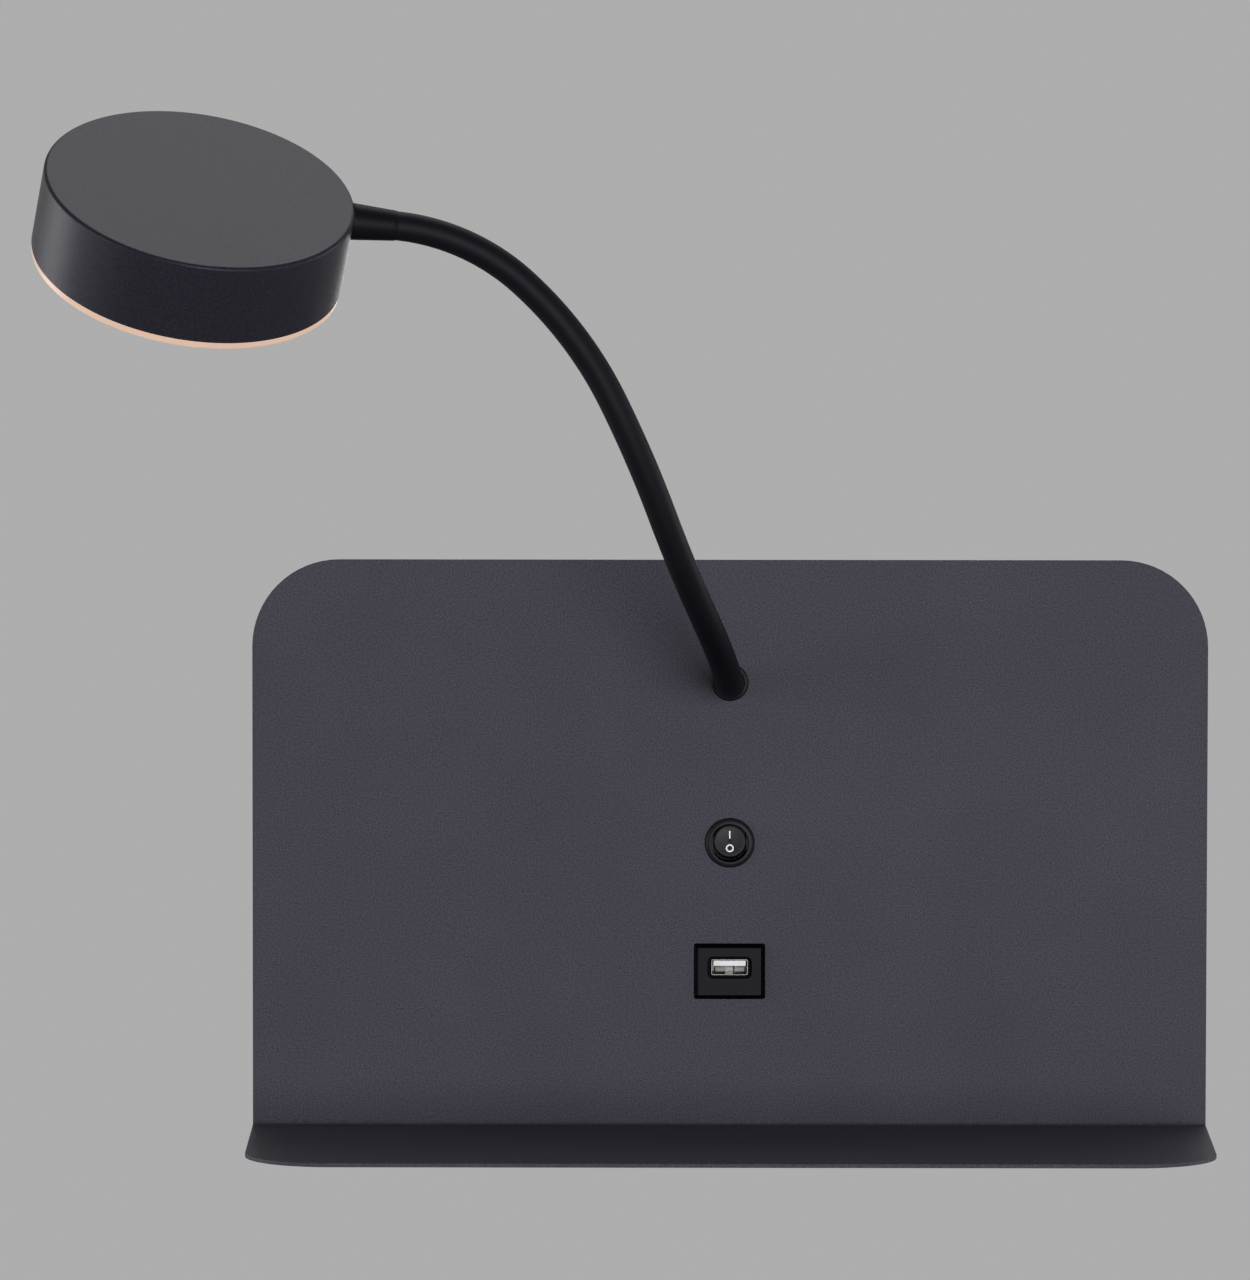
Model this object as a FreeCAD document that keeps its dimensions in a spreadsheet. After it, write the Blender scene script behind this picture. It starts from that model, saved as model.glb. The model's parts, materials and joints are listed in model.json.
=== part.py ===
"""Wall lamp with a folded steel shelf, a rocker switch, a USB socket and a gooseneck disc head.

Frame: origin on the wall, midway between the two wall screws; +X to the right of someone facing
the wall, +Y into the wall, +Z up. Millimetres and degrees.
"""
import FreeCAD
import Part
import Sketcher
import math
import os

DIMENSIONS = [
    # folded panel and shelf
    ("panel_width", 340.0, "width of the folded sheet"),
    ("panel_height", 202.0, "from the shelf's upper face to the panel's top edge"),
    ("panel_corner", 31.0, "radius of the two upper corners"),
    ("shelf_depth", 110.0, "from the panel's front face to the shelf's front edge"),
    ("shelf_corner", 30.0, "radius of the two front corners"),
    ("panel_sheet", 1.4, "thickness of the folded sheet"),
    ("fold_radius", 1.5, "inside radius of the fold"),
    # casing behind the panel
    ("housing_depth", 28.0, "from the wall to the panel's back face"),
    ("housing_width", 262.0, "outside width of the casing"),
    ("housing_margin", 15.0, "from the casing to the panel's top edge, and to the shelf"),
    ("housing_sheet", 1.2, "thickness of the casing"),
    ("housing_corner", 9.0, "outside radius of the casing's corners"),
    ("housing_flange", 16.0, "width of the flange that lies on the panel's back"),
    ("stud_inset", 8.0, "from the casing's outside to a stud's centre"),
    ("stud_radius", 2.0, "welded stud"),
    ("stud_length", 8.0, "welded stud, from the panel's back face"),
    ("stud_nut_flats", 7.0, "across flats"),
    ("stud_nut_thickness", 3.2, "thickness of a stud's nut"),
    ("screw_clearance", 0.2, "radial, a screw in a plain hole"),
    ("thread_clearance", 0.03, "radial, a thread's major diameter in its nut or tapped hole"),
    # wall bracket
    ("bracket_sheet", 1.5, "thickness of the bracket"),
    ("bracket_height", 60.0, "height of the bracket"),
    ("bracket_tab", 16.0, "from the wall to a tab's edge"),
    ("bracket_bend", 1.5, "inside radius of the tabs' bends"),
    ("bracket_clearance", 0.4, "a tab to the casing's side wall"),
    ("wall_screw_spacing", 200.0, "between the two wall slots"),
    ("wall_slot_width", 5.2, "wall slot"),
    ("wall_slot_length", 12.0, "wall slot, end to end"),
    ("cable_hole_radius", 9.0, "mains cable's way in from the wall"),
    ("cable_hole_offset", 22.0, "mains cable hole, to the right of the middle"),
    ("side_screw_radius", 2.0, "screw through the casing's side into a tab"),
    ("side_screw_length", 7.0, "shank"),
    ("side_screw_depth", 9.0, "from the wall to the side screws' axis"),
    ("side_head_radius", 3.8, "side screw's head"),
    ("side_head_height", 2.4, "side screw's head"),
    ("side_socket_depth", 1.2, "hexagon socket in a side screw's head"),
    ("drive_flats", 2.5, "hexagon socket of the screws"),
    # LED driver and terminal block on the bracket
    ("driver_length", 60.0, "driver's case, without its ears"),
    ("driver_height", 36.0, "driver's case"),
    ("driver_thickness", 20.0, "driver's case"),
    ("driver_centre", 51.0, "driver, to the left of the middle"),
    ("driver_corner", 3.0, "radius of the case's corners"),
    ("driver_edge", 1.5, "radius of the case's front edges"),
    ("ear_length", 9.0, "driver's ear beyond its case"),
    ("ear_width", 14.0, "driver's ear"),
    ("ear_thickness", 2.0, "driver's ear"),
    ("fixing_radius", 1.5, "screws that hold the driver and terminal block"),
    ("fixing_length", 4.5, "their shank"),
    ("fixing_head_radius", 2.8, "their head"),
    ("fixing_head_height", 1.8, "their head"),
    ("terminal_pitch", 10.0, "between two poles of the terminal block"),
    ("terminal_height", 18.0, "terminal block, along the wires"),
    ("terminal_thickness", 14.0, "terminal block, off the bracket"),
    ("terminal_centre", 50.0, "terminal block, to the right of the middle"),
    ("terminal_bore", 2.0, "wire bore's radius"),
    ("terminal_web", 4.0, "thin web between the poles"),
    ("terminal_groove", 2.0, "groove between two poles"),
    ("clamp_offset", 6.0, "clamp screws, above and below the block's middle"),
    ("clamp_screw_radius", 1.5, "terminal clamp screw"),
    ("clamp_screw_length", 5.0, "terminal clamp screw"),
    # switch
    ("bezel_radius", 8.9, "switch bezel"),
    ("bezel_thickness", 1.8, "switch bezel, in front of the panel"),
    ("bezel_edge", 0.15, "upright part of the bezel's side, under its rounding"),
    ("bezel_lip", 0.2, "rounding of the bezel's opening"),
    ("barrel_radius", 7.4, "switch body behind the bezel"),
    ("barrel_clearance", 0.1, "radial, the switch body in the panel's hole"),
    ("barrel_length", 13.0, "switch body behind the bezel"),
    ("recess_radius", 6.75, "opening that the rocker lies in"),
    ("recess_depth", 8.0, "recess, from the bezel's front"),
    ("recess_mouth", 1.2, "depth of the recess's round mouth"),
    ("rocker_radius", 5.6, "rocker"),
    ("rocker_side_gap", 0.3, "rocker to the flat cheeks that carry its pivot"),
    ("rocker_face", 3.4, "from the pivot to the rocker's face"),
    ("rocker_back", 2.6, "from the pivot to the rocker's back"),
    ("rocker_dish", 0.35, "depth of the finger dish in the rocker's face"),
    ("rocker_tilt", 14.0, "either way from the middle; at rest the upper side is pressed in"),
    ("pivot_depth", 3.45, "from the bezel's front to the pivot"),
    ("pivot_radius", 0.9, "rocker's pivot pins"),
    ("pivot_clearance", 0.05, "radial, a pivot pin in its bore"),
    ("pivot_reach", 1.0, "a pivot pin's length in its bore"),
    ("clip_width", 5.0, "snap clips of the switch and the socket"),
    ("clip_height", 0.8, "how far a clip stands out"),
    ("clip_length", 5.0, "a clip, from the panel's back face"),
    ("clip_bevel", 0.7, "bevel at a clip's tail"),
    ("tab_width", 4.8, "spade terminal"),
    ("tab_thickness", 0.8, "spade terminal"),
    ("tab_length", 7.0, "spade terminal"),
    ("tab_offset", 3.6, "spade terminal, from the switch's axis"),
    # USB socket
    ("socket_drop", 46.0, "socket, below the panel's mid height"),
    ("socket_width", 25.4, "socket bezel"),
    ("socket_height", 19.9, "socket bezel"),
    ("socket_bezel", 1.8, "socket bezel, in front of the panel"),
    ("socket_edge", 0.3, "upright part of the bezel's side, under its bevel"),
    ("socket_bevel", 1.6, "width of the bevel round the bezel"),
    ("socket_corner", 0.9, "radius of the bezel's outer corners"),
    ("socket_face_corner", 0.4, "radius of the corners inside the bevel"),
    ("socket_shoulder", 1.1, "bezel's overlap on the panel, each side"),
    ("socket_clearance", 0.15, "socket body in the panel's cut-out"),
    ("socket_body_depth", 14.0, "socket body, behind the bezel"),
    ("slot_width", 15.8, "mouth of the socket"),
    ("slot_height", 8.0, "mouth of the socket"),
    ("slot_corner", 2.0, "radius of the mouth's corners"),
    ("slot_rise", 1.5, "mouth, above the bezel's middle"),
    ("mouth_depth", 2.2, "mouth, to the step that the shell stands in"),
    ("shell_width", 13.1, "steel shell, outside"),
    ("shell_height", 5.7, "steel shell, outside"),
    ("shell_wall", 0.35, "steel shell"),
    ("shell_corner", 0.7, "outside radius of the shell's corners"),
    ("shell_setback", 0.9, "bezel's front to the shell's front"),
    ("shell_length", 13.0, "steel shell"),
    ("shell_clearance", 0.1, "shell in the socket body"),
    ("tongue_width", 11.4, "insulating tongue"),
    ("tongue_height", 1.84, "insulating tongue"),
    ("tongue_gap", 0.2, "tongue to the shell's upper wall"),
    ("tongue_setback", 0.6, "shell's front to the tongue's front"),
    ("insulator_length", 3.0, "block at the shell's back that carries the tongue"),
    ("contact_width", 1.0, "contact strip"),
    ("contact_height", 0.25, "contact strip"),
    ("contact_length", 7.4, "contact strip"),
    ("contact_inner", 1.0, "the two inner contact strips, from the middle"),
    ("contact_outer", 3.5, "the two outer contact strips, from the middle"),
    ("spring_width", 3.0, "window that a spring is cut from"),
    ("spring_length", 6.0, "the same window, along the shell"),
    ("spring_offset", 3.2, "the same window, from the middle"),
    ("spring_setback", 3.0, "from the shell's front to the window"),
    ("board_width", 20.0, "charger's circuit board"),
    ("board_height", 15.0, "charger's circuit board"),
    ("board_thickness", 1.6, "charger's circuit board"),
    # gooseneck
    ("arm_drop", 43.7, "gooseneck's exit, below the panel's top edge"),
    ("tube_radius", 5.0, "gooseneck sleeve"),
    ("wire_bore", 2.5, "radius of the way for the lamp's leads"),
    ("cup_gap", 0.3, "between a link's ball end and the next link's cup"),
    ("stub_length", 8.0, "from the panel to the first bending place"),
    ("link_length_1", 34.5, "link, along its centre line"),
    ("link_length_2", 46.5, "link, along its centre line"),
    ("link_length_3", 49.0, "link, along its centre line"),
    ("link_length_4", 44.0, "link, along its centre line"),
    ("link_length_5", 52.5, "link, along its centre line"),
    ("link_length_6", 49.5, "link, along its centre line"),
    ("heading_angle_1", 4.5, "direction at the link's far end, to the left of straight out"),
    ("heading_angle_2", 23.5, "direction at the link's far end"),
    ("heading_angle_3", 40.0, "direction at the link's far end"),
    ("heading_angle_4", 66.5, "direction at the link's far end"),
    ("heading_angle_5", 78.0, "direction at the link's far end"),
    ("heading_angle_6", 79.5, "direction at the link's far end"),
    ("rise_angle_1", 20.5, "direction at the link's far end, above level"),
    ("rise_angle_2", 43.0, "direction at the link's far end"),
    ("rise_angle_3", 60.5, "direction at the link's far end"),
    ("rise_angle_4", 62.0, "direction at the link's far end"),
    ("rise_angle_5", 42.0, "direction at the link's far end"),
    ("rise_angle_6", 6.0, "direction at the link's far end"),
    ("bush_rim_radius", 6.6, "bush's rim in front of the panel"),
    ("bush_rim", 0.8, "thickness of that rim"),
    ("bush_stem_radius", 6.0, "bush's threaded stem"),
    ("bush_stem_length", 10.0, "bush's stem behind the rim"),
    ("bush_clearance", 0.03, "radial, the gooseneck in its bush and collar"),
    ("bush_hole_clearance", 0.15, "radial, the stem in the panel"),
    ("foot_radius", 6.0, "flange on the gooseneck's inner end"),
    ("foot_thickness", 1.5, "that flange"),
    ("washer_radius", 10.5, "lock washer"),
    ("washer_thickness", 1.0, "lock washer"),
    ("washer_notch_width", 1.8, "notch between two teeth of the lock washer"),
    ("washer_notch_depth", 2.0, "the same notch, from the washer's bore"),
    ("washer_teeth", 10.0, "teeth of the lock washer"),
    ("nut_flats", 17.0, "bush nut across flats"),
    ("nut_thickness", 4.0, "bush nut"),
    # lamp head, in its own frame: origin at the top face's centre, X towards the arm, Z up
    ("head_radius", 53.7, "head"),
    ("head_height", 29.2, "head's casing without the diffuser"),
    ("head_wall", 2.0, "casing's side wall"),
    ("head_top", 2.5, "casing's top plate"),
    ("head_edge", 1.2, "rounding of the casing's upper edge"),
    ("head_roll", 27.5, "head's turn about the end of the arm, towards the reader"),
    ("collar_below_top", 6.9, "arm's axis below the head's top face"),
    ("collar_length", 15.5, "collar between the head and the sleeve"),
    ("collar_root_radius", 6.45, "collar at the head"),
    ("collar_tip_radius", 5.2, "collar at the sleeve"),
    ("collar_socket", 9.0, "sleeve's length inside the collar"),
    ("collar_bite", 0.6, "how far the collar's end is hollowed to the head's side"),
    ("spigot_radius", 4.0, "collar's spigot in the head's boss"),
    ("spigot_length", 11.0, "that spigot, from the head's side"),
    ("spigot_clearance", 0.05, "radial, the spigot in the boss"),
    ("boss_radius", 6.3, "boss inside the head"),
    ("boss_length", 12.0, "boss inside the head, from the side wall"),
    ("inner_root", 1.0, "boss and posts, sunk into the wall that carries them"),
    ("grub_radius", 1.5, "grub screw"),
    ("grub_setback", 6.0, "grub screw, in from the side wall"),
    ("post_radius", 3.4, "posts that carry the LED board"),
    ("post_circle", 36.0, "posts' distance from the head's axis"),
    ("post_drop", 15.0, "posts' ends, below the head's top face"),
    ("led_board_radius", 46.0, "LED board"),
    ("led_board_thickness", 1.6, "LED board"),
    ("led_size", 2.8, "LED"),
    ("led_thickness", 0.8, "LED"),
    ("led_circle", 24.0, "LEDs' distance from the head's axis"),
    ("led_count", 12.0, "LEDs"),
    ("diffuser_lip", 2.7, "diffuser below the casing"),
    ("diffuser_inset", 0.3, "diffuser's edge, in from the casing's side"),
    ("diffuser_plate", 2.7, "thickness of the diffuser's plate"),
    ("diffuser_ring_height", 3.0, "ring that stands in the casing"),
    ("diffuser_ring_wall", 1.6, "that ring"),
    ("diffuser_clearance", 0.15, "radial, that ring in the casing"),
    ("diffuser_edge", 0.6, "rounding of the diffuser's lower edge"),
]

X_AXIS = FreeCAD.Vector(1, 0, 0)
Y_AXIS = FreeCAD.Vector(0, 1, 0)
Z_AXIS = FreeCAD.Vector(0, 0, 1)
LINKS = 6
POSTS = 3
POLES = 3
SAME_PLACE = 1e-4
SAME_DIRECTION = 1e-6
SAME_VOLUME = 1e-6

doc = FreeCAD.newDocument("wall_lamp_with_shelf")
sheet = doc.addObject("Spreadsheet::Sheet", "Dims")
for row, (alias, number, note) in enumerate(DIMENSIONS, start=1):
    sheet.set(f"A{row}", alias)
    sheet.set(f"B{row}", str(number))
    sheet.set(f"C{row}", note)
    sheet.setAlias(f"B{row}", alias)
doc.recompute()


class Size:
    """A size worked out from the sheet: its number now, and the expression that keeps it so."""

    def __init__(self, text, value):
        self.text = text
        self.value = value

    @staticmethod
    def of(item):
        return item if isinstance(item, Size) else Size(repr(float(item)), float(item))

    def __add__(self, other):
        other = Size.of(other)
        return Size(f"({self.text} + {other.text})", self.value + other.value)

    def __sub__(self, other):
        other = Size.of(other)
        return Size(f"({self.text} - {other.text})", self.value - other.value)

    def __mul__(self, other):
        other = Size.of(other)
        return Size(f"({self.text} * {other.text})", self.value * other.value)

    def __truediv__(self, other):
        other = Size.of(other)
        return Size(f"({self.text} / {other.text})", self.value / other.value)

    def __neg__(self):
        return Size(f"(-1 * {self.text})", -self.value)

    def __radd__(self, other):
        return Size.of(other) + self

    def __rsub__(self, other):
        return Size.of(other) - self

    def __rmul__(self, other):
        return Size.of(other) * self


class Sizes:
    """Gives each cell of the sheet as an attribute: dim.panel_width."""

    def __getattr__(self, alias):
        return Size(f"Dims.{alias}", float(sheet.get(alias)))


dim = Sizes()
ZERO = Size.of(0)

# ---- places shared by several pieces
panel_back = dim.housing_depth
panel_front = dim.housing_depth + dim.panel_sheet
panel_top = dim.panel_height / 2
shelf_top = -panel_top
shelf_bottom = shelf_top - dim.panel_sheet
shelf_front = panel_front + dim.shelf_depth
arm_height = panel_top - dim.arm_drop
switch_height = ZERO
socket_height = switch_height - dim.socket_drop
housing_height = dim.panel_height - 2 * dim.housing_margin
stud_x = dim.housing_width / 2 - dim.stud_inset
stud_z = housing_height / 2 - dim.stud_inset
bracket_half = dim.housing_width / 2 - dim.housing_sheet - dim.bracket_clearance
bush_hole = dim.bush_stem_radius + dim.bush_hole_clearance
switch_hole = dim.barrel_radius + dim.barrel_clearance
socket_body_width = dim.socket_width - 2 * dim.socket_shoulder
socket_body_height = dim.socket_height - 2 * dim.socket_shoulder
ear_reach = dim.driver_length / 2 + dim.ear_length / 2


# ---- building blocks
def new_body(label):
    body = doc.addObject("PartDesign::Body", label)
    body.Label = label
    return body


def origin_plane(body, role):
    return next(item for item in body.Origin.OriginFeatures if item.Role == role)


def new_sketch(body, name, plane, right=ZERO, up=ZERO, out=ZERO):
    """A sketch on one of the body's own planes, its origin moved right, up and out of it."""
    sketch = body.newObject("Sketcher::SketchObject", f"{body.Label}_{name}")
    sketch.AttachmentSupport = [(origin_plane(body, plane), "")]
    sketch.MapMode = "FlatFace"
    for axis, shift in (("x", right), ("y", up), ("z", out)):
        if shift is not ZERO:
            sketch.setExpression(f"AttachmentOffset.Base.{axis}", shift.text)
    return sketch


def tie(sketch, kind, geometry, point, size):
    """Holds a point of the geometry at its distance from the sketch's origin."""
    constraint = Sketcher.Constraint(kind, -1, 1, geometry, point, size.value)
    index = sketch.addConstraint(constraint)
    sketch.setExpression(f"Constraints[{index}]", size.text)


def tie_point(sketch, geometry, point, right, up):
    tie(sketch, "DistanceX", geometry, point, right)
    tie(sketch, "DistanceY", geometry, point, up)


def tie_radius(sketch, geometry, radius):
    index = sketch.addConstraint(Sketcher.Constraint("Radius", geometry, radius.value))
    sketch.setExpression(f"Constraints[{index}]", radius.text)


def polygon(sketch, corners):
    """Straight edges through the corners, each given as (right, up)."""
    corners = [(Size.of(right), Size.of(up)) for right, up in corners]
    points = [FreeCAD.Vector(right.value, up.value, 0) for right, up in corners]
    first = sketch.GeometryCount
    for start, end in zip(points, points[1:] + points[:1]):
        sketch.addGeometry(Part.LineSegment(start, end))
    count = len(points)
    for number, (right, up) in enumerate(corners):
        after = first + (number + 1) % count
        sketch.addConstraint(Sketcher.Constraint("Coincident", first + number, 2, after, 1))
        tie_point(sketch, first + number, 1, right, up)


def rectangle(sketch, width, height, right=ZERO, up=ZERO):
    polygon(sketch, [
        (right - width / 2, up - height / 2),
        (right + width / 2, up - height / 2),
        (right + width / 2, up + height / 2),
        (right - width / 2, up + height / 2),
    ])


def circle(sketch, radius, right=ZERO, up=ZERO):
    centre = FreeCAD.Vector(right.value, up.value, 0)
    index = sketch.addGeometry(Part.Circle(centre, Z_AXIS, radius.value))
    tie_radius(sketch, index, radius)
    tie_point(sketch, index, 3, right, up)


def rounded_rectangle(sketch, width, height, radius, right=ZERO, up=ZERO):
    """Four corner arcs joined by four tangent edges."""
    signs = ((1, 1), (-1, 1), (-1, -1), (1, -1))
    ends = []
    for quarter, (side, level) in enumerate(signs):
        across = right + side * (width / 2 - radius)
        along = up + level * (height / 2 - radius)
        centre = FreeCAD.Vector(across.value, along.value, 0)
        round_ = Part.Circle(centre, Z_AXIS, radius.value)
        start = quarter * math.pi / 2
        arc = sketch.addGeometry(Part.ArcOfCircle(round_, start, start + math.pi / 2))
        tie_point(sketch, arc, 3, across, along)
        tie_radius(sketch, arc, radius)
        geometry = sketch.Geometry[arc]
        ends.append((arc, geometry.StartPoint, geometry.EndPoint))
    for number, (arc, _, tail) in enumerate(ends):
        after, head, _ = ends[(number + 1) % len(ends)]
        edge = sketch.addGeometry(Part.LineSegment(tail, head))
        sketch.addConstraint(Sketcher.Constraint("Tangent", arc, 2, edge, 1))
        sketch.addConstraint(Sketcher.Constraint("Tangent", edge, 2, after, 1))


def hexagon(sketch, flats, right=ZERO, up=ZERO):
    """Regular, with two corners on the sketch's level line."""
    reach = flats / math.sqrt(3)
    corners = []
    for turn in range(0, 360, 60):
        across = right + reach * math.cos(math.radians(turn))
        along = up + reach * math.sin(math.radians(turn))
        corners.append((across, along))
    polygon(sketch, corners)


def slot(sketch, length, width, right=ZERO, up=ZERO):
    """A level slot with round ends."""
    radius = width / 2
    reach = length / 2 - radius
    ends = []
    for side, start in ((1, -math.pi / 2), (-1, math.pi / 2)):
        across = right + side * reach
        centre = FreeCAD.Vector(across.value, up.value, 0)
        round_ = Part.Circle(centre, Z_AXIS, radius.value)
        arc = sketch.addGeometry(Part.ArcOfCircle(round_, start, start + math.pi))
        tie_point(sketch, arc, 3, across, up)
        tie_radius(sketch, arc, radius)
        geometry = sketch.Geometry[arc]
        ends.append((arc, geometry.StartPoint, geometry.EndPoint))
    for number, (arc, _, tail) in enumerate(ends):
        after, head, _ = ends[1 - number]
        edge = sketch.addGeometry(Part.LineSegment(tail, head))
        sketch.addConstraint(Sketcher.Constraint("Tangent", arc, 2, edge, 1))
        sketch.addConstraint(Sketcher.Constraint("Tangent", edge, 2, after, 1))


def pad(body, sketch, length, both_ways=False, backwards=False):
    feature = body.newObject("PartDesign::Pad", sketch.Name + "_pad")
    feature.Profile = sketch
    feature.setExpression("Length", length.text)
    if both_ways:
        feature.SideType = "Symmetric"
    feature.Reversed = backwards
    doc.recompute()
    return feature


def pocket(body, sketch, depth, both_ways=False, backwards=False):
    """Cuts the sketch into the body and makes sure that it has cut something."""
    before = body.Shape.Volume
    feature = body.newObject("PartDesign::Pocket", sketch.Name + "_pocket")
    feature.Profile = sketch
    feature.setExpression("Length", depth.text)
    if both_ways:
        feature.SideType = "Symmetric"
    feature.Reversed = backwards
    doc.recompute()
    if body.Shape.Volume >= before - SAME_VOLUME:
        raise RuntimeError(f"{feature.Name} cuts nothing")
    return feature


def revolve(body, sketch, axis):
    """Turns the sketch about its own H_Axis or V_Axis."""
    feature = body.newObject("PartDesign::Revolution", sketch.Name + "_turned")
    feature.Profile = sketch
    feature.ReferenceAxis = (sketch, [axis])
    feature.Angle = 360
    doc.recompute()
    return feature


def edges_along(shape, direction, point):
    """Names of the straight edges along direction that pass through point's other coordinates."""
    names = []
    for number, edge in enumerate(shape.Edges, start=1):
        if edge.Curve.TypeId != "Part::GeomLine":
            continue
        if abs(abs(edge.tangentAt(edge.FirstParameter).dot(direction)) - 1) > SAME_DIRECTION:
            continue
        offset = edge.valueAt(edge.FirstParameter) - point
        if (offset - direction * offset.dot(direction)).Length < SAME_PLACE:
            names.append(f"Edge{number}")
    return names


def circles_at(shape, radius, level, axis=Z_AXIS):
    """Names of the circular edges of this radius whose centre lies at this level on the axis."""
    names = []
    for number, edge in enumerate(shape.Edges, start=1):
        if edge.Curve.TypeId != "Part::GeomCircle":
            continue
        if abs(edge.Curve.Radius - radius) > SAME_PLACE:
            continue
        if abs(edge.Curve.Center.dot(axis) - level) < SAME_PLACE:
            names.append(f"Edge{number}")
    return names


def dress(body, kind, edges, size):
    """A fillet or a chamfer on named edges of the body's last feature."""
    if not edges:
        raise RuntimeError(f"{body.Label}: no edges to dress")
    base = body.Tip
    feature = body.newObject(f"PartDesign::{kind}", f"{body.Label}_{kind.lower()}")
    feature.Base = (base, edges)
    feature.setExpression("Radius" if kind == "Fillet" else "Size", size.text)
    doc.recompute()
    return feature


def place(body, right=ZERO, back=ZERO, up=ZERO):
    for axis, shift in (("x", right), ("y", back), ("z", up)):
        body.setExpression(f"Placement.Base.{axis}", shift.text)


def repeat_round(body, first, sketch, count):
    """The first feature and its copies, evenly round the sketch's own normal."""
    ring = body.newObject("PartDesign::PolarPattern", first.Name + "_ring")
    ring.Originals = [first]
    ring.Axis = (sketch, ["N_Axis"])
    ring.Angle = 360
    ring.setExpression("Occurrences", count.text)
    body.Tip = ring
    doc.recompute()


# ---- folded panel with its shelf
def make_shelf_panel():
    body = new_body("shelf_panel")
    profile = new_sketch(body, "fold", "YZ_Plane")
    polygon(profile, [
        (-panel_back, panel_top),
        (-panel_front, panel_top),
        (-panel_front, shelf_top),
        (-shelf_front, shelf_top),
        (-shelf_front, shelf_bottom),
        (-panel_back, shelf_bottom),
    ])
    pad(body, profile, dim.panel_width, both_ways=True)
    half = dim.panel_width.value / 2
    for along, back, up, radius in ((Y_AXIS, ZERO, panel_top, dim.panel_corner),
                                    (Z_AXIS, -shelf_front, ZERO, dim.shelf_corner)):
        corners = []
        for side in (-half, half):
            corner = FreeCAD.Vector(side, back.value, up.value)
            corners += edges_along(body.Shape, along, corner)
        dress(body, "Fillet", corners, radius)
    inner = FreeCAD.Vector(0, -panel_front.value, shelf_top.value)
    dress(body, "Fillet", edges_along(body.Shape, X_AXIS, inner), dim.fold_radius)
    outer = FreeCAD.Vector(0, -panel_back.value, shelf_bottom.value)
    outside_radius = dim.fold_radius + dim.panel_sheet
    dress(body, "Fillet", edges_along(body.Shape, X_AXIS, outer), outside_radius)
    holes = new_sketch(body, "holes", "XZ_Plane")
    circle(holes, bush_hole, ZERO, arm_height)
    circle(holes, switch_hole, ZERO, switch_height)
    cut_out = 2 * dim.socket_clearance
    rectangle(holes, socket_body_width + cut_out, socket_body_height + cut_out, ZERO,
              socket_height)
    pocket(body, holes, panel_front + dim.panel_sheet, backwards=True)
    return body


def stud_places():
    return [(side * stud_x, level * stud_z) for side in (-1, 1) for level in (-1, 1)]


def make_panel_studs():
    body = new_body("panel_studs")
    sketch = new_sketch(body, "studs", "XZ_Plane", out=panel_back)
    for right, up in stud_places():
        circle(sketch, dim.stud_radius, right, up)
    pad(body, sketch, dim.stud_length, backwards=True)
    return body


def make_stud_nuts():
    body = new_body("stud_nuts")
    sketch = new_sketch(body, "nuts", "XZ_Plane", out=panel_back - dim.housing_sheet)
    for right, up in stud_places():
        hexagon(sketch, dim.stud_nut_flats, right, up)
        circle(sketch, dim.stud_radius + dim.thread_clearance, right, up)
    pad(body, sketch, dim.stud_nut_thickness, backwards=True)
    return body


# ---- casing between the panel and the wall
def make_rear_housing():
    body = new_body("rear_housing")
    outline = new_sketch(body, "outline", "XZ_Plane")
    rounded_rectangle(outline, dim.housing_width, housing_height, dim.housing_corner)
    pad(body, outline, dim.housing_depth)
    cavity = new_sketch(body, "cavity", "XZ_Plane")
    rounded_rectangle(cavity, dim.housing_width - 2 * dim.housing_sheet,
                      housing_height - 2 * dim.housing_sheet,
                      dim.housing_corner - dim.housing_sheet)
    pocket(body, cavity, dim.housing_depth - dim.housing_sheet, backwards=True)
    window = new_sketch(body, "window", "XZ_Plane")
    rectangle(window, dim.housing_width - 2 * dim.housing_flange,
              housing_height - 2 * dim.housing_flange)
    for right, up in stud_places():
        circle(window, dim.stud_radius + dim.screw_clearance, right, up)
    pocket(body, window, dim.housing_depth + dim.housing_sheet, backwards=True)
    sides = new_sketch(body, "side_holes", "YZ_Plane")
    circle(sides, dim.side_screw_radius + dim.screw_clearance, -dim.side_screw_depth)
    pocket(body, sides, dim.housing_width + dim.housing_sheet, both_ways=True)
    return body


def make_wall_bracket():
    body = new_body("wall_bracket")
    fold = new_sketch(body, "fold", "XY_Plane")
    inner = bracket_half - dim.bracket_sheet
    polygon(fold, [
        (-bracket_half, -dim.bracket_tab),
        (-bracket_half, ZERO),
        (bracket_half, ZERO),
        (bracket_half, -dim.bracket_tab),
        (inner, -dim.bracket_tab),
        (inner, -dim.bracket_sheet),
        (-inner, -dim.bracket_sheet),
        (-inner, -dim.bracket_tab),
    ])
    pad(body, fold, dim.bracket_height, both_ways=True)
    for reach, level, radius in ((inner, dim.bracket_sheet, dim.bracket_bend),
                                 (bracket_half, ZERO, dim.bracket_bend + dim.bracket_sheet)):
        bends = []
        for side in (-1, 1):
            corner = FreeCAD.Vector(side * reach.value, -level.value, 0)
            bends += edges_along(body.Shape, Z_AXIS, corner)
        dress(body, "Fillet", bends, radius)
    holes = new_sketch(body, "holes", "XZ_Plane")
    for side in (-1, 1):
        slot(holes, dim.wall_slot_length, dim.wall_slot_width,
             side * dim.wall_screw_spacing / 2)
    circle(holes, dim.cable_hole_radius, dim.cable_hole_offset)
    for right, up in fixing_places():
        circle(holes, dim.fixing_radius + dim.thread_clearance, right, up)
    pocket(body, holes, 2 * dim.bracket_sheet, backwards=True)
    sides = new_sketch(body, "tapped_holes", "YZ_Plane")
    circle(sides, dim.side_screw_radius + dim.thread_clearance, -dim.side_screw_depth)
    pocket(body, sides, dim.housing_width, both_ways=True)
    return body


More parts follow.
